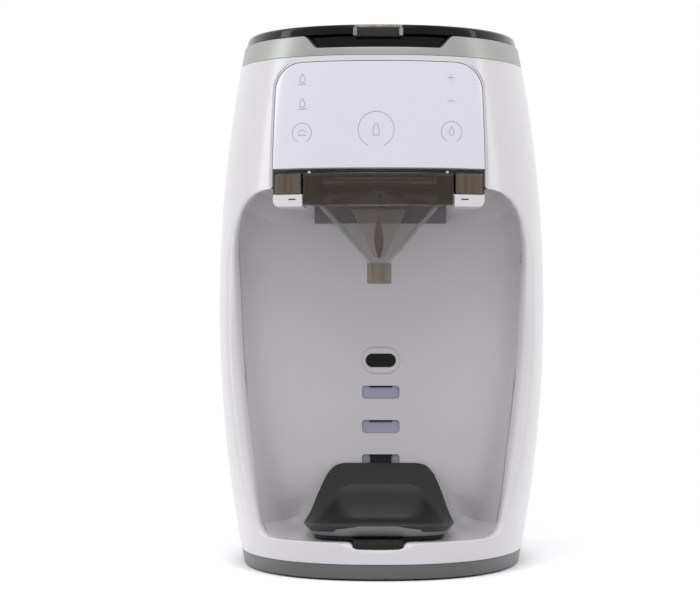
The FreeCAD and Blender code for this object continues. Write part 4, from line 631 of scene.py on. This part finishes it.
tab_smoke = smoked("smoked_grey_polycarbonate", "#2B2724", "#6B6259", 0.86, 0.95, 0.10)
tab_piece = slab("finger_tab", round_box(-16.3, 16.3, 351.9, 357.9, 1.0),
                 lambda x, z: front_of(x, z, -0.3), 6.0, 0.7)
dress(tab_piece, tab_smoke, "smoked_plastic", "lid", "lid_tab")
# A pale strip along the tab's top and two narrow pale strips at its sides are painted highlights: the light on the
# tab's top face and on its upright edges.
tab_highlight = smoked("painted_highlight_polycarbonate", "#A39A90", "#B5ADA3", 0.95, 0.98, 0.35)
tab_crest = slab("tab_crest", round_box(-15.6, 15.6, 357.7, 359.6, 0.8),
                 lambda x, z: front_of(x, z, 0.3) + 0.1 * (z - 357.7) ** 2, 5.0, 0.5)
dress(tab_crest, tab_highlight, "smoked_plastic", "lid")
for side in (-1, 1):
    edge_glint = slab("tab_edge_glint_left" if side < 0 else "tab_edge_glint_right",
                 round_box(side * 14.9 - 1.2, side * 14.9 + 1.2, 352.4, 357.6, 0.6, 0.3),
                 lambda x, z: front_of(x, z, -0.42), 3.0, 0.2, rows=4)
    dress(edge_glint, tab_highlight, "smoked_plastic", "lid")
steel = plated_steel("ground_stainless_steel", "#C4C6C8", 0.22)
smoothed("lid_hinge_pin", steel, "stainless_steel", "housing")

# Touch panel: a white film-covered plate that follows the body, wide below and round at its upper
# corners. Light rings and signs are printed on it in grey; it has no moving keys.
film = moulded("printed_polycarbonate_film", "#E9E8F1", 0.20, 0.003, 0.000004, drift=0.006, coat=0.2)
panel_outline = [(-69.3, 266.7), (69.3, 266.7), (68.7, 290), (67.7, 317.8)]
panel_outline += [(49.8 + 17.8 * math.cos(turn), 317.9 + 17.8 * math.sin(turn)) for turn in corner_turn]
panel_outline += [(48, 335.7), (-48, 335.7)]
panel_outline += [(-49.8 - 17.8 * math.cos(turn), 317.9 + 17.8 * math.sin(turn))
                  for turn in corner_turn[::-1]]
panel_outline += [(-67.7, 317.8), (-68.7, 290)]
panel_line, _ = spread(panel_outline + panel_outline[:1], 1.0, 0)
fascia = slab("touch_panel", panel_line[:-1], lambda x, z: front_of(x, z, -0.35), 2.4, 0.5, rows=28)
dress(fascia, film, "panel_plastic", "housing", "panel_fascia")


def ribbon(points, width, lift=-0.42, closed=False):
    """A printed line: two rows of points half a width either side of the path, on the panel's face."""
    path, _ = spread(points, 0.25, 0)
    ahead = np.gradient(path, axis=0)
    if closed:
        ahead[0] = ahead[-1] = path[1] - path[-2]
    side = np.stack([-ahead[:, 1], ahead[:, 0]], axis=-1)
    side /= np.linalg.norm(side, axis=1, keepdims=True)
    rows = [path + side * width * part for part in (-0.5, 0.0, 0.5)]
    return np.stack([np.stack([row[:, 0], front_of(row[:, 0], row[:, 1], lift), row[:, 1]], axis=-1)
                     for row in rows], axis=1)


def arc(x, z, radius, start, end, steps=49):
    """Points of a circle's arc between two angles in degrees."""
    turns = np.radians(np.linspace(start, end, steps))
    return [(x + radius * math.cos(turn), z + radius * math.sin(turn)) for turn in turns]


ring_ink = moulded("grey_screen_ink", "#A6A5AC", 0.5, 0.0008, 0.000004)
rings = surface("touch_rings", ribbon(arc(-1.2, 291.4, 11.6, -64, 244), 0.34),
                ribbon(arc(-49.6, 289.7, 6.4, -62, 242), 0.34), ribbon(arc(47.5, 290.3, 6.7, -62, 242), 0.34),
                closed=False)
dress(rings, ring_ink, "panel_plastic", "housing")
sign_ink = moulded("pale_grey_screen_ink", "#BEBDC4", 0.5, 0.0008, 0.000004)
printed = [ribbon([(44.7, 325.6), (49.5, 325.6)], 0.5), ribbon([(47.1, 323.2), (47.1, 328.0)], 0.5),
           ribbon([(44.7, 310.4), (49.5, 310.4)], 0.5)]
for low in (321.4, 305.3):
    printed += [ribbon([(-52.0, low), (-46.8, low)], 0.7),
                ribbon([(-51.0, low + 1.4), (-47.8, low + 1.4), (-47.8, low + 4.2), (-48.6, low + 5.2),
                        (-48.6, low + 6.6), (-50.2, low + 6.6), (-50.2, low + 5.2), (-51.0, low + 4.2),
                        (-51.0, low + 1.4)], 0.45)]
printed += [ribbon([(-3.0, 287.6), (0.6, 287.6), (0.6, 292.6), (-0.2, 293.6), (-0.2, 295.0),
                    (-2.2, 295.0), (-2.2, 293.6), (-3.0, 292.6), (-3.0, 287.6)], 0.55)]
printed += [ribbon([(-52.2, 288.2), (-47.0, 288.2)], 0.7),
            ribbon([(-52.2, 290.2), (-49.4, 291.8), (-47.0, 290.2)], 0.5)]
printed += [ribbon([(47.5, 293.7), (45.7, 290.3), (46.2, 288.6), (47.5, 287.9), (48.8, 288.6),
                    (49.3, 290.3), (47.5, 293.7)], 0.5)]
signs = surface("panel_signs", *printed, closed=False)
dress(signs, sign_ink, "panel_plastic", "housing")
diffuser = moulded("white_diffusing_polycarbonate", "#DEDEDE", 0.6, 0.001, 0.00003)
smoothed("light_guide", diffuser, "guide_plastic", "housing")

# Hood: the drawer's housing behind the panel, and two white strips below the smoked cover, each
# with a short slit for the cover's latch, drawn as a black bar that paints the slit's shade.
smoothed("hood_box", gloss_liner, "white_satin_plastic", "housing")
rail_grids = []
for side in (-1, 1):
    lower = [(49.2, 249.9), (69.0, 249.9), (69.0, 245.6), (68.4, 243.9), (67.2, 242.6), (65.4, 242.0),
             (49.2, 242.0)]
    rail_line, _ = spread([(side * x, z) for x, z in lower + lower[:1]], 0.5, 0)
    rail_grids.append(slab("rail_left" if side < 0 else "rail_right", rail_line[:-1],
                           lambda x, z: front_of(x, z, 0.4), 62.0, 0.5, rows=6))
dress(rail_grids[0], gloss_white, "white_gloss_plastic", "housing", "hood_rails")
dress(rail_grids[1], gloss_white, "white_gloss_plastic", "housing")
# Each slit is a black bar on the strip's face: painted shade for the slit.
for side in (-1, 1):
    slit_shade = slab("slit_shade_left" if side < 0 else "slit_shade_right",
                round_box(side * 56 - 2.5, side * 56 + 2.5, 246.3, 247.1, 0.38, 0.3),
                lambda x, z: front_of(x, z, 0.3), 3.0, 0.05, rows=4)
    dress(slit_shade, black_pp, "black_matt_plastic", "housing")

# Funnel drawer: a smoked polycarbonate band that follows the body, deeper in the middle, with a
# tray behind it that carries the funnel between two ribbed end blocks.
smoke = smoked("smoked_brown_polycarbonate", "#3A3026", "#6E6454", 0.60, 0.85, 0.08)
cover_outline = [(-48.4, 263.5), (48.4, 263.5), (48.4, 245.4), (45.4, 243.0), (42.4, 242.2), (-42.4, 242.2),
                 (-45.4, 243.0), (-48.4, 245.4)]
cover_line, _ = spread(cover_outline + cover_outline[:1], 0.7, 0)
cover_band = slab("cover_band", cover_line[:-1], lambda x, z: front_of(x, z, 0.1), 2.6, 0.6, rows=14)
dress(cover_band, smoke, "smoked_plastic", "funnel_drawer", "funnel_cover")
# Near-black smoked plastic paints shade: the strip along the band's head is the painted shadow under the panel's lower
# edge, and the narrow strips on either side of each end cap are painted shade in the gaps.
smoke_shadow = smoked("shadow_smoked_polycarbonate", "#0E0B09", "#2A2520", 0.95, 0.98, 0.10)
cover_top_shadow = slab("cover_top_shadow", round_box(-68.8, 68.8, 263.8, 265.3, 0.5), lambda x, z: front_of(x, z, 0.6),
                  3.0, 0.4, rows=12)
dress(cover_top_shadow, smoke_shadow, "smoked_plastic", "funnel_drawer")
smoke_light = smoked("streaked_brown_polycarbonate", "#5D5145", "#7E7264", 0.90, 0.96, 0.16)
for side in (-1, 1):
    cap_low, cap_high = sorted((side * 50.0, side * 67.6))
    end_cap = slab("end_cap_left" if side < 0 else "end_cap_right",
                   round_box(cap_low, cap_high, 250.2, 263.4, 0.8), lambda x, z: front_of(x, z, 0.15), 2.4, 0.6)
    dress(end_cap, smoke_light, "smoked_plastic", "funnel_drawer")
    strip_low, strip_high = sorted((side * 67.7, side * 68.8))
    end_strip = slab("end_strip_left" if side < 0 else "end_strip_right",
                     round_box(strip_low, strip_high, 250.2, 263.6, 0.3, 0.3),
                     lambda x, z: front_of(x, z, 0.5), 3.0, 0.2, rows=4)
    dress(end_strip, smoke_shadow, "smoked_plastic", "funnel_drawer")
    gap_low, gap_high = sorted((side * 48.0, side * 50.4))
    gap_shadow = slab("end_gap_shadow_left" if side < 0 else "end_gap_shadow_right",
               round_box(gap_low, gap_high, 250.2, 263.6, 0.3, 0.3), lambda x, z: front_of(x, z, 1.6), 3.0, 0.2,
               rows=4)
    dress(gap_shadow, smoke_shadow, "smoked_plastic", "funnel_drawer")
# A pale strip along the band's lower edge is a painted highlight: the line of light along that edge.
foot_highlight = smoked("edge_highlight_polycarbonate", "#7D7466", "#978E7F", 0.75, 0.9, 0.10)
cover_foot = slab("cover_foot", round_box(-42.6, 42.6, 241.9, 243.0, 0.4), lambda x, z: front_of(x, z, 0.0),
                  1.2, 0.3, rows=4)
dress(cover_foot, foot_highlight, "smoked_plastic", "funnel_drawer")


def brick(x0, x1, y0, y1, z0, z1):
    """The six faces of a plain block, as one closed sleeve and its two ends."""
    ring = np.array([(x0, z0), (x1, z0), (x1, z1), (x0, z1), (x0, z0)], float)
    middle = np.array([(x0 + x1) / 2, (z0 + z1) / 2])
    rows = []
    for y, part in ((y0, 0), (y0, 1), (y1, 1), (y1, 0)):
        spot = middle + (ring - middle) * part
        rows.append(np.stack([spot[:, 0], np.full(5, float(y)), spot[:, 1]], axis=-1))
    return np.stack(rows, axis=1)


end_grids = []
for side in (-1, 1):
    for rib in range(9):
        mid = side * (50.6 + 1.95 * rib)
        end_grids.append(brick(mid - 0.8, mid + 0.8, -136 + 1.2 * rib, -118, 249.6, 262.0))
    end_grids.append(brick(side * 59 - 8.6, side * 59 + 8.6, -126, -86, 249.4, 262.2))
    end_grids.append(brick(side * 43 - 5.2, side * 43 + 5.2, -141, -100, 244.0, 262.0))
ribbed = moulded("dark_ribbed_abs", "#151411", 0.4, 0.001, 0.00003, gleam=0.2)
end_blocks = surface("end_blocks", *end_grids)
dress(end_blocks, ribbed, "smoked_plastic", "funnel_drawer")
tray_grids = [brick(-37, 37, -152, -144, 244.0, 245.4), brick(-37, 37, -150, -146, 256.6, 257.4),
              brick(-37, 37, -148, -140, 261.0, 262.2), brick(-37, 37, -76, -70, 261.0, 262.2),
              brick(-37, -31, -140, -76, 261.0, 262.2), brick(31, 37, -140, -76, 261.0, 262.2)]
drawer_tray = surface("drawer_tray", *tray_grids)
tray_smoke = moulded("olive_brown_abs", "#6A6253", 0.35, 0.001, 0.00002)
dress(drawer_tray, tray_smoke, "smoked_plastic", "funnel_drawer")
for side in (-1, 1):
    screw = slab("cover_screw_left" if side < 0 else "cover_screw_right",
                 np.array(arc(side * 44.6, 264.0, 1.0, 0, 345, 24)), lambda x, z: front_of(x, z, 0.55), 1.0, 0.25,
                 rows=3)
    dress(screw, steel, "stainless_steel", "funnel_drawer")


# Funnel: blown-clear smoked Tritan, a cone with a flange that hangs in the drawer's tray and a short
# straight spout. Thin fins inside the cone break up lumps of powder; a darker strip down the front
# middle stands for one seen edge-on, and pale sheets inside the cone's front and back paint the light
# on its front face.
def lathe(profile, x, y, turns=96):
    """Turn a profile of radius and height about an upright axis at x and y."""
    profile = np.array(profile, float)
    turn = np.linspace(0, 2 * math.pi, turns + 1)[:, None]
    return np.stack(np.broadcast_arrays(x + profile[:, 0] * np.cos(turn), y + profile[:, 0] * np.sin(turn),
                                        profile[:, 1]), axis=-1)


tritan = smoked("smoked_tritan", "#5E564D", "#C4BCB0", 0.13, 0.62, 0.08)
funnel_profile = [(6.2, 191.8), (7.4, 191.7), (7.9, 192.2), (7.9, 205.6), (8.2, 206.8), (9.2, 208.2),
                  (24, 225.0), (38.2, 241.0), (39.0, 242.2), (39.0, 244.2), (41.2, 244.4), (41.2, 246.0),
                  (40.6, 246.3), (37.4, 246.3), (37.2, 242.4), (36.4, 241.2), (22.4, 225.4), (7.6, 208.6),
                  (6.2, 206.4), (6.2, 191.8)]
funnel = surface("funnel_cone", lathe(funnel_profile, 0.0, -109.0), sharp=40)
dress(funnel, tritan, "smoked_plastic", "funnel_drawer", "mixing_funnel")
# Pale sheets just inside the cone's front and back: painted light on the cone's lit front face.
light_sheet_turn = np.radians(np.linspace(-122, -58, 33))[:, None]
light_sheet_z = np.linspace(209.5, 240.5, 9)[None, :]
light_sheet_r = 9.4 + (light_sheet_z - 209.5) * 0.87 - 2.4
light_sheets = []
for turn_away in (0.0, math.pi):
    light_sheets.append(np.stack(np.broadcast_arrays(light_sheet_r * np.cos(light_sheet_turn + turn_away),
                                               -109.0 + light_sheet_r * np.sin(light_sheet_turn + turn_away), light_sheet_z), axis=-1))
cone_front_light = smoked("pale_front_light_tritan", "#B3AA9D", "#C9C1B5", 0.30, 0.6, 0.12)
light_sheet_piece = surface("cone_light_sheets", *light_sheets, closed=False)
dress(light_sheet_piece, cone_front_light, "smoked_plastic", "funnel_drawer")
leaf_share = np.linspace(0, 1, 25)[:, None]
leaf_wide = 3.1 * np.sin(math.pi * leaf_share) ** 0.8
leaf_z = 208.0 + 26.0 * leaf_share
leaf_x = leaf_wide * np.linspace(-1, 1, 7)[None, :]
leaf_r = 8.0 + 23.0 * leaf_share - 2.0 - 0.06 * leaf_x ** 2
leaf = surface("cone_leaf", np.stack(np.broadcast_arrays(leaf_x, -109.0 - leaf_r, leaf_z), axis=-1), closed=False)
leaf_smoke = smoked("thick_smoked_tritan", "#5A534B", "#6A6259", 0.78, 0.9, 0.10)
dress(leaf, leaf_smoke, "smoked_plastic", "funnel_drawer")
spout_smoke = smoked("streaked_smoked_tritan", "#8A7B6B", "#5F564C", 0.55, 0.9, 0.12)
spout_sleeve = surface("spout_sleeve", lathe([(7.95, 192.2), (8.05, 193.0), (8.05, 205.0), (7.95, 205.6)], 0.0, -109.0),
                       closed=False)
dress(spout_sleeve, spout_smoke, "smoked_plastic", "funnel_drawer")
outlet_grey = moulded("satin_grey_abs", "#77757D", 0.42, 0.0012, 0.00003)
smoothed("outlet_block", outlet_grey, "grey_plastic", "housing")
smoothed("water_nozzle", steel, "stainless_steel", "housing")


# Bottle sensor: a soft oval bezel of white ABS with a dark infrared window sunk into it.
# The window is a flat-sided oval with full round ends.
def oval(half_wide, half_tall, z, step=0.5):
    """Outline of a flat-sided oval, as x and z."""
    straight = half_wide - half_tall
    points = arc(straight, z, half_tall, -90, 90, 25) + arc(-straight, z, half_tall, 90, 270, 25)
    line, _ = spread(points + points[:1], step, 0)
    return line[:-1]


def oval_ring(name, wide, tall, inner_wide, inner_tall, z, section):
    """A hoop on the niche's back: section pairs give the share from outer to inner oval, and the y."""
    outer, inner = oval(wide, tall, z), oval(inner_wide, inner_tall, z)
    number = len(outer)
    inner = np.stack([np.interp(np.linspace(0, 1, number, endpoint=False),
                                np.linspace(0, 1, len(inner), endpoint=False), inner[:, axis])
                      for axis in (0, 1)], axis=-1)
    rows = []
    for part, y in section:
        spot = outer + (inner - outer) * part
        spot = np.concatenate([spot, spot[:1]])
        rows.append(np.stack([spot[:, 0], np.full(len(spot), y), spot[:, 1]], axis=-1))
    return surface(name, np.stack(rows, axis=1), sharp=50)


bezel = oval_ring("sensor_bezel_ring", 13.2, 9.4, 10.3, 4.6, 139.6,
                  ((0.0, -50.0), (0.0, -52.1), (0.08, -52.6), (0.22, -53.1), (0.42, -53.3), (0.7, -53.3),
                   (0.9, -53.1), (1.0, -52.7), (1.0, -50.0), (0.0, -50.0)))
dress(bezel, gloss_liner, "white_satin_plastic", "housing", "sensor_bezel")
acrylic = moulded("infrared_acrylic", "#0E0B0C", 0.12, 0.004, 0.000004, drift=0.2, gleam=0.15)
window = slab("sensor_window_pane", oval(10.25, 4.55, 139.6), lambda x, z: 0 * x - 52.6, 1.8, 0.3, rows=5)
dress(window, acrylic, "infrared_window_plastic", "housing", "sensor_window")

# Height sockets: three lavender-grey cups pressed into the niche's back wall. Each has a thin slot
# along its top that takes the stand's hook; a black bar there paints the slot's shade.
def soft_frame(half_wide, low, high, radius, y):
    """Outline of a rectangle with round corners, seven points to each corner, at one y."""
    turns = np.radians(np.linspace(0, 90, 7))
    start = np.array([0.0, 90.0, 180.0, 270.0])
    turns = (turns[None, :] + np.radians(start)[:, None])
    mid_x = (half_wide - radius) * np.array([1, -1, -1, 1])[:, None]
    mid_z = np.array([high - radius, high - radius, low + radius, low + radius])[:, None]
    x, z = mid_x + radius * np.cos(turns), mid_z + radius * np.sin(turns)
    ring = np.stack([x.ravel(), np.full(x.size, y), z.ravel()], axis=-1)
    return np.concatenate([ring, ring[:1]])


lavender = moulded("satin_lavender_abs", "#A3A1B4", 0.45, 0.0012, 0.00003)
cup_grids, slot_shade_grids, rim_grids = [], [], []
for low in (66.4, 89.8, 113.2):
    high = low + 9.4
    rim_grids.append(np.stack([soft_frame(13.4, low - 0.3, high + 0.3, 0.1, -51.98),
                               soft_frame(13.3, low - 0.2, high + 0.2, 1.6, -52.12),
                               soft_frame(12.9, low + 0.1, high - 0.1, 2.2, -52.12),
                               soft_frame(12.7, low + 0.3, high - 0.3, 2.2, -51.9),
                               soft_frame(12.7, low + 0.3, high - 0.3, 2.2, -50.6)], axis=1))
    cup_grids.append(np.stack([soft_frame(12.7, low + 0.3, high - 0.3, 2.2, -51.2),
                               soft_frame(12.4, low + 0.6, high - 0.6, 2.0, -50.4),
                               soft_frame(0.0, low + 4.7, low + 4.7, 0.0, -50.4)], axis=1))
    slot_shade_grids.append(brick(-7.8, 7.8, -51.5, -47.4, low + 7.9, low + 9.3))
sockets = surface("socket_cups", *cup_grids, closed=False, sharp=50)
dress(sockets, lavender, "lavender_plastic", "housing", "height_sockets")
socket_rims = surface("socket_rims", *rim_grids, closed=False, sharp=50)
dress(socket_rims, gloss_liner, "white_satin_plastic", "housing")
# The black bars stand in the slots as painted shade.
slot_shades = surface("socket_slot_shades", *slot_shade_grids)
dress(slot_shades, black_pp, "black_matt_plastic", "housing")


# Bottle stand: a charcoal ABS scoop. A rounded foot, a thin bead round the rim, a flange that slopes
# inwards and a flat-floored well; its back rises and narrows to a level top below the sockets.
rim_half, _ = spread([(0, -150.4, 36.7), (28, -150.1, 36.7), (40.5, -146.8, 36.7), (47.2, -138.5, 36.7),
                      (49.2, -126, 36.8), (48.6, -116, 37.4), (47.0, -105, 39.6), (45.0, -94, 43.6),
                      (42.6, -82, 50.0), (39.6, -70, 57.0), (36.4, -61.0, 63.4), (31.6, -56.0, 68.4),
                      (25.7, -54.7, 70.0), (0, -54.6, 70.0)], 0.8, 2.4)
flange_half, _ = spread([(0, -144.2, 35.2), (26, -144.0, 35.2), (35.5, -141.0, 35.2), (40.6, -134.0, 35.2),
                         (41.9, -124, 35.3), (41.2, -114, 35.8), (39.4, -104, 37.2), (37.0, -94, 40.0),
                         (34.0, -84.5, 45.2), (30.6, -77.0, 50.2), (26.6, -72.4, 54.0), (21.4, -70.2, 56.0),
                         (0, -69.6, 56.3)], 0.8, 2.4)
flange_share = np.linspace(0, 1, len(flange_half))
flange_half = np.stack([np.interp(np.linspace(0, 1, len(rim_half)), flange_share, flange_half[:, axis])
                        for axis in range(3)], axis=-1)
rim_way = np.gradient(rim_half[:, :2], axis=0)
rim_out = np.stack([rim_way[:, 1], -rim_way[:, 0]], axis=-1)
rim_out[[0, -1], 0] = 0.0
rim_half[[0, -1], 0] = flange_half[[0, -1], 0] = 0.0
rim_out /= np.linalg.norm(rim_out, axis=1, keepdims=True)


def off_rim(inset, drop):
    """The stand's rim moved a distance inwards, square to itself in plan, and a distance down."""
    return np.concatenate([rim_half[:, :2] - rim_out * inset, rim_half[:, 2:] - drop], axis=1)


charcoal = moulded("satin_charcoal_abs", "#303131", 0.46, 0.0009, 0.00002, gleam=0.3)
side_rows = []
for part in (0.0, 0.3, 0.6, 1.0):
    row = off_rim(3.6 - 1.2 * part, 0.0)
    row[:, 2] = 31.4 + (rim_half[:, 2] - 3.6 - 31.4).clip(0) * part
    side_rows.append(row)
under_mid = np.array([0.0, -102.0, 31.4])
under_rows = [side_rows[0] + (under_mid - side_rows[0]) * part for part in (1.0, 0.5)]
for row in under_rows:
    row[[0, -1], 0] = 0.0
bead_rows = [off_rim(inset, drop) for inset, drop in
             ((1.2, 3.0), (0.4, 2.2), (0.0, 1.4), (0.0, 0.8), (0.3, 0.2), (0.8, 0.0), (1.3, 0.1), (1.7, 0.5))]
flange_rows = [bead_rows[-1] + (flange_half - bead_rows[-1]) * part for part in (0.25, 0.5, 0.75, 0.94)]
well_floor = np.array([0.0, -110.0, 32.6])
well_foot = flange_half + (well_floor - flange_half) * 0.07
well_foot[:, 2] = 32.6
drop_step = np.linspace(0, 1, 8)[1:, None, None]
well_rows = list((1 - drop_step) ** 2 * flange_half
                 + 2 * drop_step * (1 - drop_step) * (well_foot * np.array([1, 1, 0]) + [0, 0, 33.0]) * 1.0
                 + drop_step ** 2 * (well_foot + (well_floor - well_foot) * 0.16))
well_rows += [well_rows[-1] + (well_floor - well_rows[-1]) * part for part in (0.35, 0.7, 1.0)]
for row in well_rows:
    row[[0, -1], 0] = 0.0
half_scoop = np.stack(under_rows + side_rows + bead_rows + flange_rows + [flange_half] + well_rows, axis=1)
scoop = surface("stand_scoop", half_scoop, (half_scoop * mirror)[::-1], sharp=60)
dress(scoop, charcoal, "dark_grey_plastic", "stand", "bottle_stand")


def foot_plan(turn, inset):
    """Plan of the stand's foot at an angle: a superellipse of power 3.4."""
    across, along = np.cos(turn), np.sin(turn)
    x = (49.25 - inset) * np.sign(across) * np.abs(across) ** (2 / 3.4)
    y = -102.5 + (48.0 - inset) * np.sign(along) * np.abs(along) ** (2 / 3.4)
    return x, y


stand_turn = np.linspace(-math.pi / 2, 1.5 * math.pi, 301)[:, None]
foot_grey = moulded("satin_mid_grey_abs", "#7C7E80", 0.42, 0.0009, 0.00002)
skirt = []
for inset, z in ((30, 28.4), (5.0, 28.4), (4.0, 28.6), (3.1, 29.2), (1.9, 31.0), (0.9, 33.0), (0.3, 34.7),
                 (0.1, 35.3), (0.35, 35.5), (3.0, 34.0), (5.0, 31.6), (30, 31.2)):
    x, y = foot_plan(stand_turn, inset)
    low = np.where(y > -124, np.minimum(z, 31.6 + (z - 31.6) * np.clip(1 - (y + 124) / 30, 0, 1)), z)
    skirt.append(np.stack([x, y, np.broadcast_to(low, y.shape)], axis=-1)[:, 0])
skirt_piece = surface("stand_skirt", np.stack(skirt + skirt[:1], axis=1), sharp=50)
dress(skirt_piece, foot_grey, "foot_grey_plastic", "stand", "stand_foot")
smoothed("stand_hook", black_pp, "dark_grey_plastic", "stand")
tray_black = moulded("fine_textured_black_abs", "#1B1B1C", 0.5, 0.0009, 0.00002, gleam=0.2)
smoothed("drip_tray", tray_black, "black_matt_plastic", "tray")

# Dosing drive: a steel plate over the drawer, a nylon wheel with six powder pockets, the steel
# pinion of a small gear motor, and the stirrer on the wheel's shaft.
nylon = moulded("natural_nylon", "#DAD6C4", 0.42, 0.0015, 0.00003)
smoothed("dosing_plate", steel, "stainless_steel", "housing")
smoothed("dosing_wheel", nylon, "natural_nylon", "doser")
smoothed("motor_pinion", zinc, "zinc_plated_steel", "pinion")
smoothed("gear_motor", zinc, "zinc_plated_steel", "housing")
smoothed("agitator", nylon, "natural_nylon", "doser")


# Powder jar and water tank: clear Tritan, moulded with polished faces, under a white and a black lid.
# The tank slides straight back out of its bay and seals on a nylon spigot with a rubber ring.
def clear_plastic(name, colour, alpha):
    """Clear Tritan: nearly colourless with polished faces, a little more solid where it has flowed thick."""
    finish = bpy.data.materials.new(name)
    finish.use_nodes = True
    tree = finish.node_tree
    shader = tree.nodes["Principled BSDF"]
    place = add(tree, "ShaderNodeTexCoord").outputs["Object"]
    flow = add(tree, "ShaderNodeTexNoise", {"Vector": place, "Scale": 1 / 0.04, "Detail": 2.0})
    shade = add(tree, "ShaderNodeMapRange", {0: flow.outputs[0], 3: 0.94, 4: 1.04})
    tint = add(tree, "ShaderNodeVectorMath", {0: linear(colour)[:3], "Scale": shade.outputs[0]},
               operation="SCALE")
    tree.links.new(tint.outputs[0], shader.inputs["Base Color"])
    body = add(tree, "ShaderNodeMapRange", {0: flow.outputs[0], 3: alpha - 0.03, 4: alpha + 0.03})
    tree.links.new(body.outputs[0], shader.inputs["Alpha"])
    rough = add(tree, "ShaderNodeMapRange", {0: flow.outputs[0], 3: 0.04, 4: 0.1})
    tree.links.new(rough.outputs[0], shader.inputs["Roughness"])
    shader.inputs["IOR"].default_value = 1.55
    return finish


clear = clear_plastic("clear_tritan", "#C9D2DA", 0.24)
smoothed("powder_jar", clear, "clear_tank_plastic", "housing")
smoothed("powder_lid", gloss_liner, "white_satin_plastic", "housing")
smoothed("water_tank", clear, "clear_tank_plastic", "tank", inset=1.45)
smoothed("tank_lid", black_pp, "black_matt_plastic", "tank", inset=1.45)
smoothed("tank_spigot", nylon, "natural_nylon", "tank")
smoothed("spigot_seal", epdm, "black_rubber", "tank")
smoothed("tank_socket", nylon, "natural_nylon", "housing")

# Inner works: a zinc-plated chassis carries a cast aluminium boiler in two straps, a pump, a flow
# meter, a solenoid valve, the boards and the power supply; silicone hoses join them.
smoothed("chassis", zinc, "zinc_plated_steel", "housing")
cast = plated_steel("cast_aluminium", "#B4B5B6", 0.48)
smoothed("boiler", cast, "cast_aluminium", "housing")
smoothed("boiler_clamps", zinc, "zinc_plated_steel", "housing")
for node in ("thermostat", "pump", "power_supply"):
    smoothed(node, black_pp, "black_matt_plastic", "housing")
smoothed("pump_mount", epdm, "black_rubber", "housing")
for node in ("flow_meter", "solenoid_valve"):
    smoothed(node, nylon, "natural_nylon", "housing")
silicone = moulded("translucent_silicone", "#D9D7D0", 0.45, 0.002, 0.00001)
for node in ("hose_cold", "hose_feed", "hose_boiler", "hose_hot", "hose_outlet"):
    smoothed(node, silicone, "silicone_hose", "housing")
green_board = moulded("green_solder_mask", "#1E5A34", 0.3, 0.0006, 0.00003, drift=0.08)
for node in ("main_board", "sensor_board"):
    smoothed(node, green_board, "green_circuit_board", "housing")
white_board = moulded("white_solder_mask", "#DCDCD8", 0.35, 0.0006, 0.00003)
smoothed("touch_board", white_board, "white_circuit_board", "housing")
